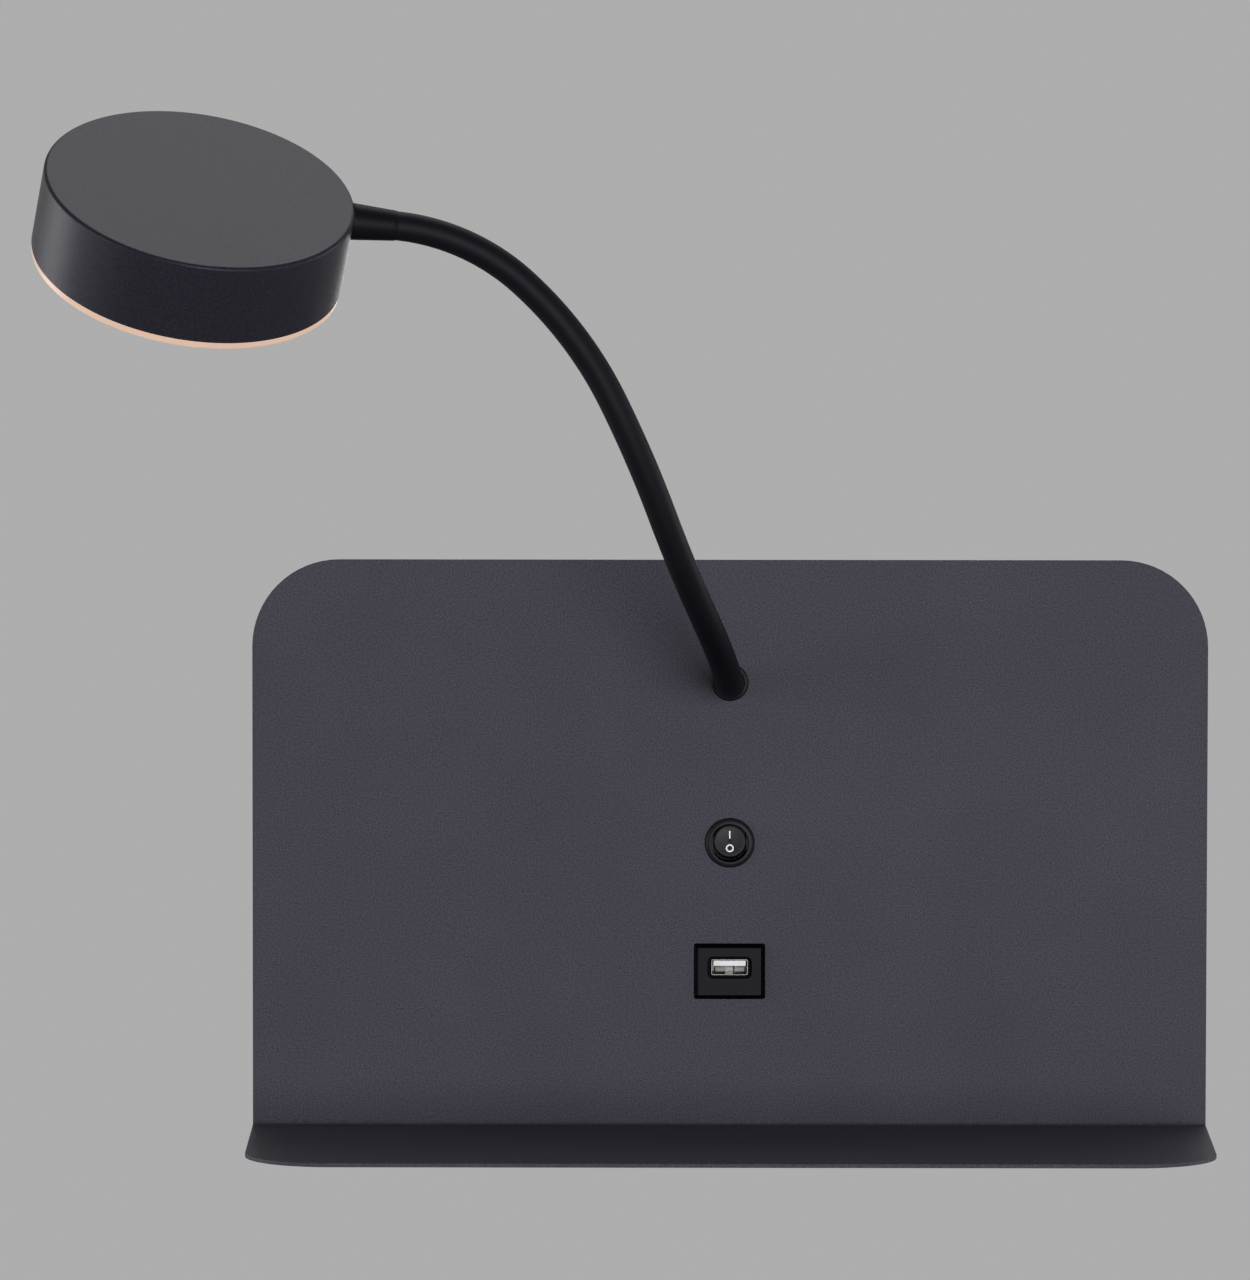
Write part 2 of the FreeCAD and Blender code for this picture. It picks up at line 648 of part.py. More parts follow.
def fixing_places():
    """Two screws for the driver's ears, one through the middle of the terminal block."""
    return [
        (-dim.driver_centre - ear_reach, ZERO),
        (-dim.driver_centre + ear_reach, ZERO),
        (dim.terminal_centre, ZERO),
    ]


def make_side_screws():
    """Pan-head screws from the casing's sides into the bracket's tabs."""
    body = new_body("side_screws")
    outside = dim.housing_width / 2
    for side in (-1, 1):
        name = "right" if side > 0 else "left"
        seat = side * outside
        shank = new_sketch(body, f"{name}_shank", "YZ_Plane", out=seat)
        circle(shank, dim.side_screw_radius, -dim.side_screw_depth)
        pad(body, shank, dim.side_screw_length, backwards=side > 0)
        head = new_sketch(body, f"{name}_head", "YZ_Plane", out=seat)
        circle(head, dim.side_head_radius, -dim.side_screw_depth)
        pad(body, head, dim.side_head_height, backwards=side < 0)
        socket = new_sketch(body, f"{name}_socket", "YZ_Plane",
                            out=side * (outside + dim.side_head_height))
        hexagon(socket, dim.drive_flats, -dim.side_screw_depth)
        pocket(body, socket, dim.side_socket_depth, backwards=side < 0)
    return body


# ---- electrical pieces on the bracket
def make_led_driver():
    body = new_body("led_driver")
    case = new_sketch(body, "case", "XZ_Plane", out=dim.bracket_sheet)
    rounded_rectangle(case, dim.driver_length, dim.driver_height, dim.driver_corner)
    pad(body, case, dim.driver_thickness)
    front = (dim.bracket_sheet + dim.driver_thickness).value
    rims = [
        f"Edge{number}" for number, edge in enumerate(body.Shape.Edges, start=1)
        if max(abs(edge.BoundBox.YMin + front), abs(edge.BoundBox.YMax + front)) < SAME_PLACE
    ]
    dress(body, "Fillet", rims, dim.driver_edge)
    ears = new_sketch(body, "ears", "XZ_Plane", out=dim.bracket_sheet)
    overlap = dim.driver_corner
    for side in (-1, 1):
        reach = side * (dim.driver_length / 2 + (dim.ear_length - overlap) / 2)
        rectangle(ears, dim.ear_length + overlap, dim.ear_width, reach)
    pad(body, ears, dim.ear_thickness)
    holes = new_sketch(body, "ear_holes", "XZ_Plane", out=dim.bracket_sheet)
    for side in (-1, 1):
        circle(holes, dim.fixing_radius + dim.screw_clearance, side * ear_reach)
    pocket(body, holes, dim.ear_thickness, backwards=True)
    place(body, right=-dim.driver_centre)
    return body


def make_terminal_block():
    """Insulated poles in a row, joined by thinner webs, with a wire bore and a screw well each."""
    body = new_body("terminal_block")
    base = new_sketch(body, "base", "XZ_Plane", out=dim.bracket_sheet)
    rectangle(base, POLES * dim.terminal_pitch, dim.terminal_height)
    pad(body, base, dim.terminal_thickness)
    grooves = new_sketch(body, "grooves", "XZ_Plane",
                         out=dim.bracket_sheet + dim.terminal_thickness)
    for between in (-1, 1):
        rectangle(grooves, dim.terminal_groove, dim.terminal_height + dim.terminal_groove,
                  between * dim.terminal_pitch / 2)
    pocket(body, grooves, dim.terminal_thickness - dim.terminal_web)
    bores = new_sketch(body, "wire_bores", "XY_Plane")
    for pole in (-1, 0, 1):
        circle(bores, dim.terminal_bore, pole * dim.terminal_pitch,
               -dim.bracket_sheet - dim.terminal_thickness / 2)
    pocket(body, bores, 2 * dim.terminal_height, both_ways=True)
    wells = new_sketch(body, "screw_wells", "XZ_Plane",
                       out=dim.bracket_sheet + dim.terminal_thickness)
    for right, up in clamp_places():
        circle(wells, dim.clamp_screw_radius + dim.thread_clearance, right, up)
    pocket(body, wells, dim.terminal_thickness / 2)
    fixing = new_sketch(body, "fixing_hole", "XZ_Plane")
    circle(fixing, dim.fixing_radius + dim.screw_clearance)
    pocket(body, fixing, dim.bracket_sheet + dim.terminal_thickness + dim.terminal_web,
           backwards=True)
    counterbore = new_sketch(body, "counterbore", "XZ_Plane",
                             out=dim.bracket_sheet + dim.terminal_web)
    circle(counterbore, dim.fixing_head_radius + dim.screw_clearance)
    pocket(body, counterbore, dim.terminal_thickness, backwards=True)
    place(body, right=dim.terminal_centre)
    return body


def clamp_places():
    """Two clamp screws for each pole, one above and one below the middle."""
    return [
        (pole * dim.terminal_pitch, level * dim.clamp_offset)
        for pole in (-1, 0, 1) for level in (-1, 1)
    ]


def make_clamp_screws():
    body = new_body("terminal_clamp_screws")
    seat = dim.bracket_sheet + dim.terminal_thickness / 2 + dim.terminal_bore
    sketch = new_sketch(body, "screws", "XZ_Plane", out=seat)
    for right, up in clamp_places():
        circle(sketch, dim.clamp_screw_radius, right, up)
    pad(body, sketch, dim.clamp_screw_length)
    place(body, right=dim.terminal_centre)
    return body


def make_fixing_screws():
    """Screws that hold the driver's ears and the terminal block to the bracket."""
    body = new_body("bracket_fixing_screws")
    seats = (dim.ear_thickness, dim.ear_thickness, dim.terminal_web)
    for number, ((right, up), thickness) in enumerate(zip(fixing_places(), seats), start=1):
        seat = dim.bracket_sheet + thickness
        shank = new_sketch(body, f"shank_{number}", "XZ_Plane", out=seat)
        circle(shank, dim.fixing_radius, right, up)
        pad(body, shank, seat, backwards=True)
        head = new_sketch(body, f"head_{number}", "XZ_Plane", out=seat)
        circle(head, dim.fixing_head_radius, right, up)
        pad(body, head, dim.fixing_head_height)
    return body


# ---- rocker switch, in a frame of its own with the panel's front face at Y = 0
def clip_feature(body, reach, level, name):
    """Two wedges that spring out behind the panel: a pad on each side, bevelled at its far end."""
    sketch = new_sketch(body, name, "XZ_Plane", out=-dim.panel_sheet)
    for side in (-1, 1):
        width = dim.clip_height + dim.panel_sheet
        rectangle(sketch, width, dim.clip_width,
                  side * (reach + dim.clip_height - width / 2), level)
    pad(body, sketch, dim.clip_length, backwards=True)
    tail = (-dim.panel_sheet - dim.clip_length).value
    outer = []
    for side in (-1, 1):
        corner = FreeCAD.Vector(side * (reach + dim.clip_height).value, -tail, 0)
        outer += edges_along(body.Shape, Z_AXIS, corner)
    dress(body, "Chamfer", outer, dim.clip_bevel)


def make_switch_body():
    body = new_body("switch_body")
    rim = new_sketch(body, "bezel", "XZ_Plane")
    circle(rim, dim.bezel_radius)
    pad(body, rim, dim.bezel_thickness)
    front = circles_at(body.Shape, dim.bezel_radius.value, -dim.bezel_thickness.value, Y_AXIS)
    dress(body, "Fillet", front, dim.bezel_thickness - dim.bezel_edge)
    barrel = new_sketch(body, "barrel", "XZ_Plane")
    circle(barrel, dim.barrel_radius)
    pad(body, barrel, dim.barrel_length, backwards=True)
    clip_feature(body, dim.barrel_radius, ZERO, "clips")
    mouth = new_sketch(body, "mouth", "XZ_Plane", out=dim.bezel_thickness)
    circle(mouth, dim.recess_radius)
    pocket(body, mouth, dim.recess_mouth)
    lip = circles_at(body.Shape, dim.recess_radius.value, -dim.bezel_thickness.value, Y_AXIS)
    dress(body, "Fillet", lip, dim.bezel_lip)
    cheek = dim.rocker_radius + dim.rocker_side_gap
    well = new_sketch(body, "well", "XZ_Plane", out=dim.bezel_thickness)
    reach = (dim.recess_radius * dim.recess_radius - cheek * cheek).value ** 0.5
    well_outline(well, dim.recess_radius, cheek, reach)
    pocket(body, well, dim.recess_depth)
    pivots = new_sketch(body, "pivot_bores", "YZ_Plane")
    circle(pivots, dim.pivot_radius + dim.pivot_clearance,
           dim.pivot_depth - dim.bezel_thickness)
    pocket(body, pivots, 2 * (cheek + dim.pivot_reach + dim.pivot_clearance), both_ways=True)
    place(body, back=-panel_front, up=switch_height)
    return body


def well_outline(sketch, radius, cheek, reach):
    """A round well with two flat cheeks at its sides: two arcs and two upright edges."""
    angle = math.acos(cheek.value / radius.value)
    centre = FreeCAD.Vector(0, 0, 0)
    arcs = []
    for start in (angle, math.pi + angle):
        round_ = Part.Circle(centre, Z_AXIS, radius.value)
        arc = sketch.addGeometry(Part.ArcOfCircle(round_, start, start + math.pi - 2 * angle))
        tie_point(sketch, arc, 3, ZERO, ZERO)
        tie_radius(sketch, arc, radius)
        arcs.append(arc)
    for side, arc, after in ((-1, arcs[0], arcs[1]), (1, arcs[1], arcs[0])):
        head = FreeCAD.Vector(side * cheek.value, -side * reach, 0)
        tail = FreeCAD.Vector(side * cheek.value, side * reach, 0)
        edge = sketch.addGeometry(Part.LineSegment(head, tail))
        sketch.addConstraint(Sketcher.Constraint("Coincident", arc, 2, edge, 1))
        sketch.addConstraint(Sketcher.Constraint("Coincident", edge, 2, after, 1))
        tie(sketch, "DistanceX", edge, 1, side * cheek)
        tie(sketch, "DistanceX", edge, 2, side * cheek)


def make_switch_rocker():
    """A disc with a finger dish, tilted about its pivot so that its upper side is pressed in."""
    body = new_body("switch_rocker")
    disc = new_sketch(body, "disc", "XZ_Plane", out=dim.rocker_face)
    circle(disc, dim.rocker_radius)
    pad(body, disc, dim.rocker_face + dim.rocker_back, backwards=True)
    rim = circles_at(body.Shape, dim.rocker_radius.value, -dim.rocker_face.value, Y_AXIS)
    dress(body, "Fillet", rim, dim.rocker_dish)
    dish = new_sketch(body, "dish", "YZ_Plane")
    spread = dim.rocker_radius - 2 * dim.rocker_dish
    sphere = (spread * spread + dim.rocker_dish * dim.rocker_dish) / (2 * dim.rocker_dish)
    centre = -dim.rocker_face - sphere + dim.rocker_dish
    cap_outline(dish, centre, sphere, -dim.rocker_face + dim.rocker_dish)
    groove = body.newObject("PartDesign::Groove", "rocker_dish")
    groove.Profile = dish
    groove.ReferenceAxis = (dish, ["H_Axis"])
    groove.Angle = 360
    doc.recompute()
    pins = new_sketch(body, "pins", "YZ_Plane")
    circle(pins, dim.pivot_radius)
    reach = dim.rocker_radius + dim.rocker_side_gap + dim.pivot_reach
    pad(body, pins, 2 * reach, both_ways=True)
    place(body, back=-panel_front + dim.pivot_depth - dim.bezel_thickness, up=switch_height)
    body.Placement.Rotation = FreeCAD.Rotation(X_AXIS, -dim.rocker_tilt.value)
    return body


def cap_outline(sketch, centre, radius, deepest):
    """Quarter of a disc against the sketch's level axis: the outline of a ball that is turned."""
    ball = Part.Circle(FreeCAD.Vector(centre.value, 0, 0), Z_AXIS, radius.value)
    arc = sketch.addGeometry(Part.ArcOfCircle(ball, 0, math.pi / 2))
    tie_point(sketch, arc, 3, centre, ZERO)
    tie_radius(sketch, arc, radius)
    tie(sketch, "DistanceY", arc, 1, ZERO)
    tie(sketch, "DistanceX", arc, 2, centre)
    middle = FreeCAD.Vector(centre.value, 0, 0)
    top = FreeCAD.Vector(centre.value, radius.value, 0)
    tip = FreeCAD.Vector(deepest.value, 0, 0)
    upright = sketch.addGeometry(Part.LineSegment(top, middle))
    level = sketch.addGeometry(Part.LineSegment(middle, tip))
    sketch.addConstraint(Sketcher.Constraint("Coincident", arc, 2, upright, 1))
    sketch.addConstraint(Sketcher.Constraint("Coincident", upright, 2, level, 1))
    sketch.addConstraint(Sketcher.Constraint("Coincident", upright, 2, arc, 3))
    sketch.addConstraint(Sketcher.Constraint("Coincident", level, 2, arc, 1))


def make_switch_terminals():
    body = new_body("switch_terminals")
    sketch = new_sketch(body, "tabs", "XZ_Plane", out=-dim.barrel_length)
    for side in (-1, 1):
        rectangle(sketch, dim.tab_width, dim.tab_thickness, ZERO, side * dim.tab_offset)
    pad(body, sketch, dim.tab_length, backwards=True)
    place(body, back=-panel_front, up=switch_height)
    return body


# ---- USB socket, in a frame of its own with the panel's front face at Y = 0
shell_front = dim.socket_bezel - dim.shell_setback
tongue_front = shell_front - dim.tongue_setback
shell_tail = shell_front - dim.shell_length
inner_shell_width = dim.shell_width - 2 * dim.shell_wall
inner_shell_height = dim.shell_height - 2 * dim.shell_wall
tongue_top = dim.slot_rise + inner_shell_height / 2 - dim.tongue_gap
tongue_bottom = tongue_top - dim.tongue_height


def make_socket_body():
    """Moulded body whose bezel has an upright edge and a bevel, a loft between two outlines."""
    body = new_body("usb_socket_body")
    edge = new_sketch(body, "edge", "XZ_Plane")
    rounded_rectangle(edge, dim.socket_width, dim.socket_height, dim.socket_corner)
    pad(body, edge, dim.socket_edge)
    outer = new_sketch(body, "bevel_foot", "XZ_Plane", out=dim.socket_edge)
    rounded_rectangle(outer, dim.socket_width, dim.socket_height, dim.socket_corner)
    face = new_sketch(body, "bevel_top", "XZ_Plane", out=dim.socket_bezel)
    rounded_rectangle(face, dim.socket_width - 2 * dim.socket_bevel,
                      dim.socket_height - 2 * dim.socket_bevel, dim.socket_face_corner)
    bevel = body.newObject("PartDesign::AdditiveLoft", "bevel")
    bevel.Profile = outer
    bevel.Sections = [face]
    bevel.Ruled = True
    doc.recompute()
    block = new_sketch(body, "block", "XZ_Plane")
    rectangle(block, socket_body_width, socket_body_height)
    pad(body, block, dim.socket_body_depth, backwards=True)
    clip_feature(body, socket_body_width / 2, ZERO, "clips")
    mouth = new_sketch(body, "mouth", "XZ_Plane", out=dim.socket_bezel)
    rounded_rectangle(mouth, dim.slot_width, dim.slot_height, dim.slot_corner, ZERO,
                      dim.slot_rise)
    pocket(body, mouth, dim.mouth_depth)
    seat = new_sketch(body, "shell_seat", "XZ_Plane", out=dim.socket_bezel)
    rounded_rectangle(seat, dim.shell_width + 2 * dim.shell_clearance,
                      dim.shell_height + 2 * dim.shell_clearance,
                      dim.shell_corner + dim.shell_clearance, ZERO, dim.slot_rise)
    pocket(body, seat, dim.socket_bezel + dim.socket_body_depth + dim.mouth_depth)
    place(body, back=-panel_front, up=socket_height)
    return body


def make_usb_shell():
    body = new_body("usb_shell")
    tube = new_sketch(body, "tube", "XZ_Plane", out=shell_tail)
    rounded_rectangle(tube, dim.shell_width, dim.shell_height, dim.shell_corner, ZERO,
                      dim.slot_rise)
    rounded_rectangle(tube, inner_shell_width, inner_shell_height,
                      dim.shell_corner - dim.shell_wall, ZERO, dim.slot_rise)
    pad(body, tube, dim.shell_length)
    windows = new_sketch(body, "spring_windows", "XY_Plane", out=dim.slot_rise)
    for side in (-1, 1):
        rectangle(windows, dim.spring_width, dim.spring_length, side * dim.spring_offset,
                  -shell_front + dim.spring_setback + dim.spring_length / 2)
    pocket(body, windows, dim.shell_height)
    place(body, back=-panel_front, up=socket_height)
    return body


def make_usb_tongue():
    body = new_body("usb_tongue")
    insulator = new_sketch(body, "insulator", "XZ_Plane", out=shell_tail)
    rectangle(insulator, inner_shell_width - 2 * dim.shell_clearance,
              inner_shell_height - 2 * dim.shell_clearance, ZERO, dim.slot_rise)
    pad(body, insulator, dim.insulator_length)
    tongue = new_sketch(body, "tongue", "XZ_Plane", out=shell_tail)
    rectangle(tongue, dim.tongue_width, dim.tongue_height, ZERO,
              tongue_top - dim.tongue_height / 2)
    pad(body, tongue, tongue_front - shell_tail)
    place(body, back=-panel_front, up=socket_height)
    return body


def make_usb_contacts():
    body = new_body("usb_contacts")
    start = shell_tail + dim.insulator_length
    sketch = new_sketch(body, "strips", "XZ_Plane", out=start)
    for offset in (dim.contact_inner, dim.contact_outer):
        for side in (-1, 1):
            rectangle(sketch, dim.contact_width, dim.contact_height, side * offset,
                      tongue_bottom - dim.contact_height / 2)
    pad(body, sketch, dim.contact_length)
    place(body, back=-panel_front, up=socket_height)
    return body


def make_charger_board():
    body = new_body("usb_charger_board")
    sketch = new_sketch(body, "board", "XZ_Plane", out=-dim.socket_body_depth)
    rectangle(sketch, dim.board_width, dim.board_height)
    pad(body, sketch, dim.board_thickness, backwards=True)
    place(body, back=-panel_front, up=socket_height)
    return body


# ---- gooseneck's fixing in the panel, turned about Y
def turned_about_y(label, corners):
    body = new_body(label)
    sketch = new_sketch(body, "profile", "YZ_Plane")
    polygon(sketch, corners)
    revolve(body, sketch, "H_Axis")
    place(body, back=-panel_front, up=arm_height)
    return body


tube_bore = dim.tube_radius + dim.bush_clearance


def make_arm_bush():
    return turned_about_y("arm_bush", [
        (-dim.bush_rim, tube_bore),
        (-dim.bush_rim, dim.bush_rim_radius - dim.bush_rim / 2),
        (-dim.bush_rim / 2, dim.bush_rim_radius),
        (ZERO, dim.bush_rim_radius),
        (ZERO, dim.bush_stem_radius),
        (dim.bush_stem_length, dim.bush_stem_radius),
        (dim.bush_stem_length, tube_bore),
    ])


def make_arm_washer():
    """Lock washer with teeth between the notches round its bore."""
    body = new_body("arm_lock_washer")
    ring = new_sketch(body, "ring", "XZ_Plane", out=-dim.panel_sheet)
    circle(ring, dim.washer_radius)
    circle(ring, bush_hole)
    pad(body, ring, dim.washer_thickness, backwards=True)
    notch = new_sketch(body, "notch", "XZ_Plane", out=-dim.panel_sheet)
    rectangle(notch, 2 * dim.washer_notch_depth, dim.washer_notch_width, bush_hole)
    cut = pocket(body, notch, dim.washer_thickness)
    repeat_round(body, cut, notch, dim.washer_teeth)
    place(body, back=-panel_front, up=arm_height)
    return body


def make_arm_nut():
    body = new_body("arm_nut")
    seat = dim.panel_sheet + dim.washer_thickness
    sketch = new_sketch(body, "nut", "XZ_Plane", out=-seat)
    hexagon(sketch, dim.nut_flats)
    circle(sketch, dim.bush_stem_radius + dim.thread_clearance)
    pad(body, sketch, dim.nut_thickness, backwards=True)
    place(body, back=-panel_front, up=arm_height)
    return body


# ---- gooseneck: arcs between stations, each station a bending place
def direction(heading, rise):
    """Unit vector, turned left by heading from straight out of the wall and raised by rise."""
    level = math.cos(math.radians(rise))
    return FreeCAD.Vector(
        -math.sin(math.radians(heading)) * level,
        -math.cos(math.radians(heading)) * level,
        math.sin(math.radians(rise)),
    )


class Station:
    """A place on the gooseneck's centre line and the way it runs there."""

    def __init__(self, point, along):
        self.point = point
        self.along = along


class Arc:
    """The arc that leaves a station along its direction and ends along another."""

    def __init__(self, start, along_end, length):
        self.start = start
        self.turn = math.acos(start.along.dot(along_end))
        self.axis = start.along.cross(along_end).normalize()
        self.radius = length / self.turn
        self.inward = self.axis.cross(start.along)
        self.centre = start.point + self.inward * self.radius
        reach = self.radius * math.sin(self.turn)
        sink = self.radius * (1 - math.cos(self.turn))
        end_point = start.point + start.along * reach + self.inward * sink
        self.end = Station(end_point, along_end)

    def tube(self, radius):
        """A disc carried along the arc: part of a ring."""
        rim = Part.Wire(Part.makeCircle(radius, self.start.point, self.start.along))
        return Part.Face(rim).revolve(self.centre, self.axis, math.degrees(self.turn))


def gooseneck_arcs():
    exit_point = FreeCAD.Vector(0, -(panel_front + dim.stub_length).value, arm_height.value)
    station = Station(exit_point, -Y_AXIS)
    arcs = []
    for number in range(1, LINKS + 1):
        heading = sheet.get(f"heading_angle_{number}")
        rise = sheet.get(f"rise_angle_{number}")
        length = sheet.get(f"link_length_{number}")
        arcs.append(Arc(station, direction(heading, rise), length))
        station = arcs[-1].end
    return arcs


def feature(label, shape):
    item = doc.addObject("Part::Feature", label)
    item.Label = label
    item.Shape = shape
    return item


def ball_end(station):
    """Half a ball on the tube's end, open along the wire way."""
    radius = dim.tube_radius.value
    ball = Part.makeSphere(radius, station.point, station.along, 0, 90, 360)
    way = Part.makeCylinder(dim.wire_bore.value, radius, station.point, station.along)
    return ball.cut(way)


def link_shape(arc, with_ball):
    tube = arc.tube(dim.tube_radius.value).cut(arc.tube(dim.wire_bore.value))
    cup = Part.makeSphere((dim.tube_radius + dim.cup_gap).value, arc.start.point)
    tube = tube.cut(cup)
    if with_ball:
        tube = tube.fuse(ball_end(arc.end))
    return tube


def make_gooseneck_base():
    """Straight stub held in the bush, with a foot flange inside and a ball end outside."""
    outer = dim.tube_radius.value
    foot_back = (dim.bush_stem_length + dim.foot_thickness - panel_front).value
    tail = FreeCAD.Vector(0, foot_back, arm_height.value)
    tip = FreeCAD.Vector(0, -(panel_front + dim.stub_length).value, arm_height.value)
    tube = Part.makeCylinder(outer, (tip - tail).Length, tail, -Y_AXIS)
    foot = Part.makeCylinder(dim.foot_radius.value, dim.foot_thickness.value, tail, -Y_AXIS)
    bore = Part.makeCylinder(dim.wire_bore.value, (tip - tail).Length, tail, -Y_AXIS)
    stub = tube.fuse(foot).cut(bore)
    return feature("gooseneck_base", stub.fuse(ball_end(Station(tip, -Y_AXIS))))


def make_gooseneck_links(arcs):
    pieces = []
    for number, arc in enumerate(arcs[:-1], start=1):
        pieces.append(feature(f"gooseneck_link_{number}", link_shape(arc, with_ball=True)))
    last = arcs[-1]
    shape = link_shape(last, with_ball=False)
    inside = dim.collar_socket.value
    tube = Part.makeCylinder(dim.tube_radius.value, inside, last.end.point, last.end.along)
    bore = Part.makeCylinder(dim.wire_bore.value, inside, last.end.point, last.end.along)
    pieces.append(feature("gooseneck_end", shape.fuse(tube.cut(bore))))
    return pieces


# ---- lamp head, in its own frame
def head_placement(last):
    """X points back along the arm, Z up through the head's top face, tilted by the head's roll."""
    outward = -last.along
    upright = (Z_AXIS - outward * outward.dot(Z_AXIS)).normalize()
    roll = FreeCAD.Rotation(outward, dim.head_roll.value)
    up = roll.multVec(upright)
    across = up.cross(outward)
    rotation = FreeCAD.Rotation(outward, across, up, "ZXY")
    reach = (dim.head_radius + dim.collar_length).value
    centre = last.point - outward * reach + up * dim.collar_below_top.value
    return FreeCAD.Placement(centre, rotation)


def turned_head_piece(label, corners):
    body = new_body(label)
    sketch = new_sketch(body, "profile", "XZ_Plane")
    polygon(sketch, corners)
    revolve(body, sketch, "V_Axis")
    return body


def post_places():
    places = []
    for number in range(POSTS):
        angle = math.radians(180 + 360 / POSTS * (number + 0.5))
        places.append((dim.post_circle * math.cos(angle), dim.post_circle * math.sin(angle)))
    return places


def make_head_housing():
    inner = dim.head_radius - dim.head_wall
    body = turned_head_piece("head_housing", [
        (ZERO, ZERO),
        (dim.head_radius, ZERO),
        (dim.head_radius, -dim.head_height),
        (inner, -dim.head_height),
        (inner, -dim.head_top),
        (ZERO, -dim.head_top),
    ])
    rim = circles_at(body.Shape, dim.head_radius.value, 0)
    dress(body, "Fillet", rim, dim.head_edge)
    corner = circles_at(body.Shape, inner.value, -dim.head_top.value)
    dress(body, "Fillet", corner, dim.head_edge)
    boss = new_sketch(body, "boss", "YZ_Plane", up=-dim.collar_below_top,
                      out=dim.head_radius - dim.head_wall + dim.inner_root)
    circle(boss, dim.boss_radius)
    pad(body, boss, dim.boss_length, backwards=True)
    posts = new_sketch(body, "posts", "XY_Plane", out=dim.inner_root - dim.head_top)
    for right, up in post_places():
        circle(posts, dim.post_radius, right, up)
    pad(body, posts, dim.post_drop - dim.head_top + dim.inner_root, backwards=True)
    pilots = new_sketch(body, "pilot_holes", "XY_Plane", out=-dim.post_drop)
    for right, up in post_places():
        circle(pilots, dim.fixing_radius + dim.thread_clearance, right, up)
    pocket(body, pilots, dim.fixing_length, backwards=True)
    bore = new_sketch(body, "spigot_bore", "YZ_Plane", up=-dim.collar_below_top,
                      out=dim.head_radius + dim.head_wall)
    circle(bore, dim.spigot_radius + dim.spigot_clearance)
    pocket(body, bore, dim.boss_length + 2 * dim.head_wall)
    grub = new_sketch(body, "grub_hole", "XY_Plane", out=-dim.collar_below_top,
                      right=dim.head_radius - dim.head_wall - dim.grub_setback)
    circle(grub, dim.grub_radius + dim.thread_clearance)
    pocket(body, grub, 2 * dim.boss_radius)
    return body


def make_arm_collar():
    """Tapered collar: a spigot in the head's boss, a socket round the sleeve's end."""
    body = new_body("arm_collar")
    root = dim.head_radius - dim.collar_bite
    tip = dim.head_radius + dim.collar_length
    spigot_end = dim.head_radius - dim.spigot_length
    socket_floor = tip - dim.collar_socket
    sketch = new_sketch(body, "profile", "XZ_Plane", up=-dim.collar_below_top)
    polygon(sketch, [
        (spigot_end, dim.wire_bore),
        (spigot_end, dim.spigot_radius),
        (root, dim.spigot_radius),
        (root, dim.collar_root_radius),
        (tip, dim.collar_tip_radius),
        (tip, tube_bore),
        (socket_floor, tube_bore),
        (socket_floor, dim.wire_bore),
    ])
    revolve(body, sketch, "H_Axis")
    side = new_sketch(body, "head_side", "XY_Plane", out=-dim.collar_below_top)
    circle(side, dim.head_radius)
    keep = new_sketch(body, "spigot", "YZ_Plane", up=-dim.collar_below_top, out=spigot_end)
    circle(keep, dim.spigot_radius)
    circle(keep, dim.wire_bore)
    pocket(body, side, 2 * dim.collar_root_radius, both_ways=True)
    pad(body, keep, dim.spigot_length + dim.head_wall)
    return body


def make_grub_screw():
    body = new_body("collar_grub_screw")
    top = dim.collar_below_top + dim.spigot_radius + dim.spigot_clearance
    sketch = new_sketch(body, "screw", "XY_Plane", out=-top,
                        right=dim.head_radius - dim.head_wall - dim.grub_setback)
    circle(sketch, dim.grub_radius)
    pad(body, sketch, dim.boss_radius - dim.spigot_radius + dim.spigot_clearance,
        backwards=True)
    return body


def make_led_board():
    body = new_body("led_board")
    sketch = new_sketch(body, "disc", "XY_Plane", out=-dim.post_drop)
    circle(sketch, dim.led_board_radius)
    for right, up in post_places():
        circle(sketch, dim.fixing_radius + dim.screw_clearance, right, up)
    pad(body, sketch, dim.led_board_thickness, backwards=True)
    return body


def make_leds():
    body = new_body("leds")
    under = dim.post_drop + dim.led_board_thickness
    sketch = new_sketch(body, "led", "XY_Plane", out=-under)
    rectangle(sketch, dim.led_size, dim.led_size, dim.led_circle)
    first = pad(body, sketch, dim.led_thickness, backwards=True)
    repeat_round(body, first, sketch, dim.led_count)
    return body


def make_board_screws():
    body = new_body("led_board_screws")
    seat = dim.post_drop + dim.led_board_thickness
    shanks = new_sketch(body, "shanks", "XY_Plane", out=-seat)
    for right, up in post_places():
        circle(shanks, dim.fixing_radius, right, up)
    pad(body, shanks, dim.fixing_length)
    heads = new_sketch(body, "heads", "XY_Plane", out=-seat)
    for right, up in post_places():
        circle(heads, dim.fixing_head_radius, right, up)
    pad(body, heads, dim.fixing_head_height, backwards=True)
    return body


def make_diffuser():
    """Opal cover: a plate below the casing's rim and a ring that stands inside it."""
    ring_outside = dim.head_radius - dim.head_wall - dim.diffuser_clearance
    ring_inside = ring_outside - dim.diffuser_ring_wall
    lip = dim.head_radius - dim.diffuser_inset
    underside = -dim.head_height - dim.diffuser_lip
    plate_top = underside + dim.diffuser_plate
    body = turned_head_piece("diffuser", [
        (ZERO, plate_top),
        (ring_inside, plate_top),
        (ring_inside, -dim.head_height + dim.diffuser_ring_height),
        (ring_outside, -dim.head_height + dim.diffuser_ring_height),
        (ring_outside, -dim.head_height),
        (lip, -dim.head_height),
        (lip, underside),
        (ZERO, underside),
    ])
    rim = circles_at(body.Shape, lip.value, underside.value)
    dress(body, "Fillet", rim, dim.diffuser_edge)
    return body


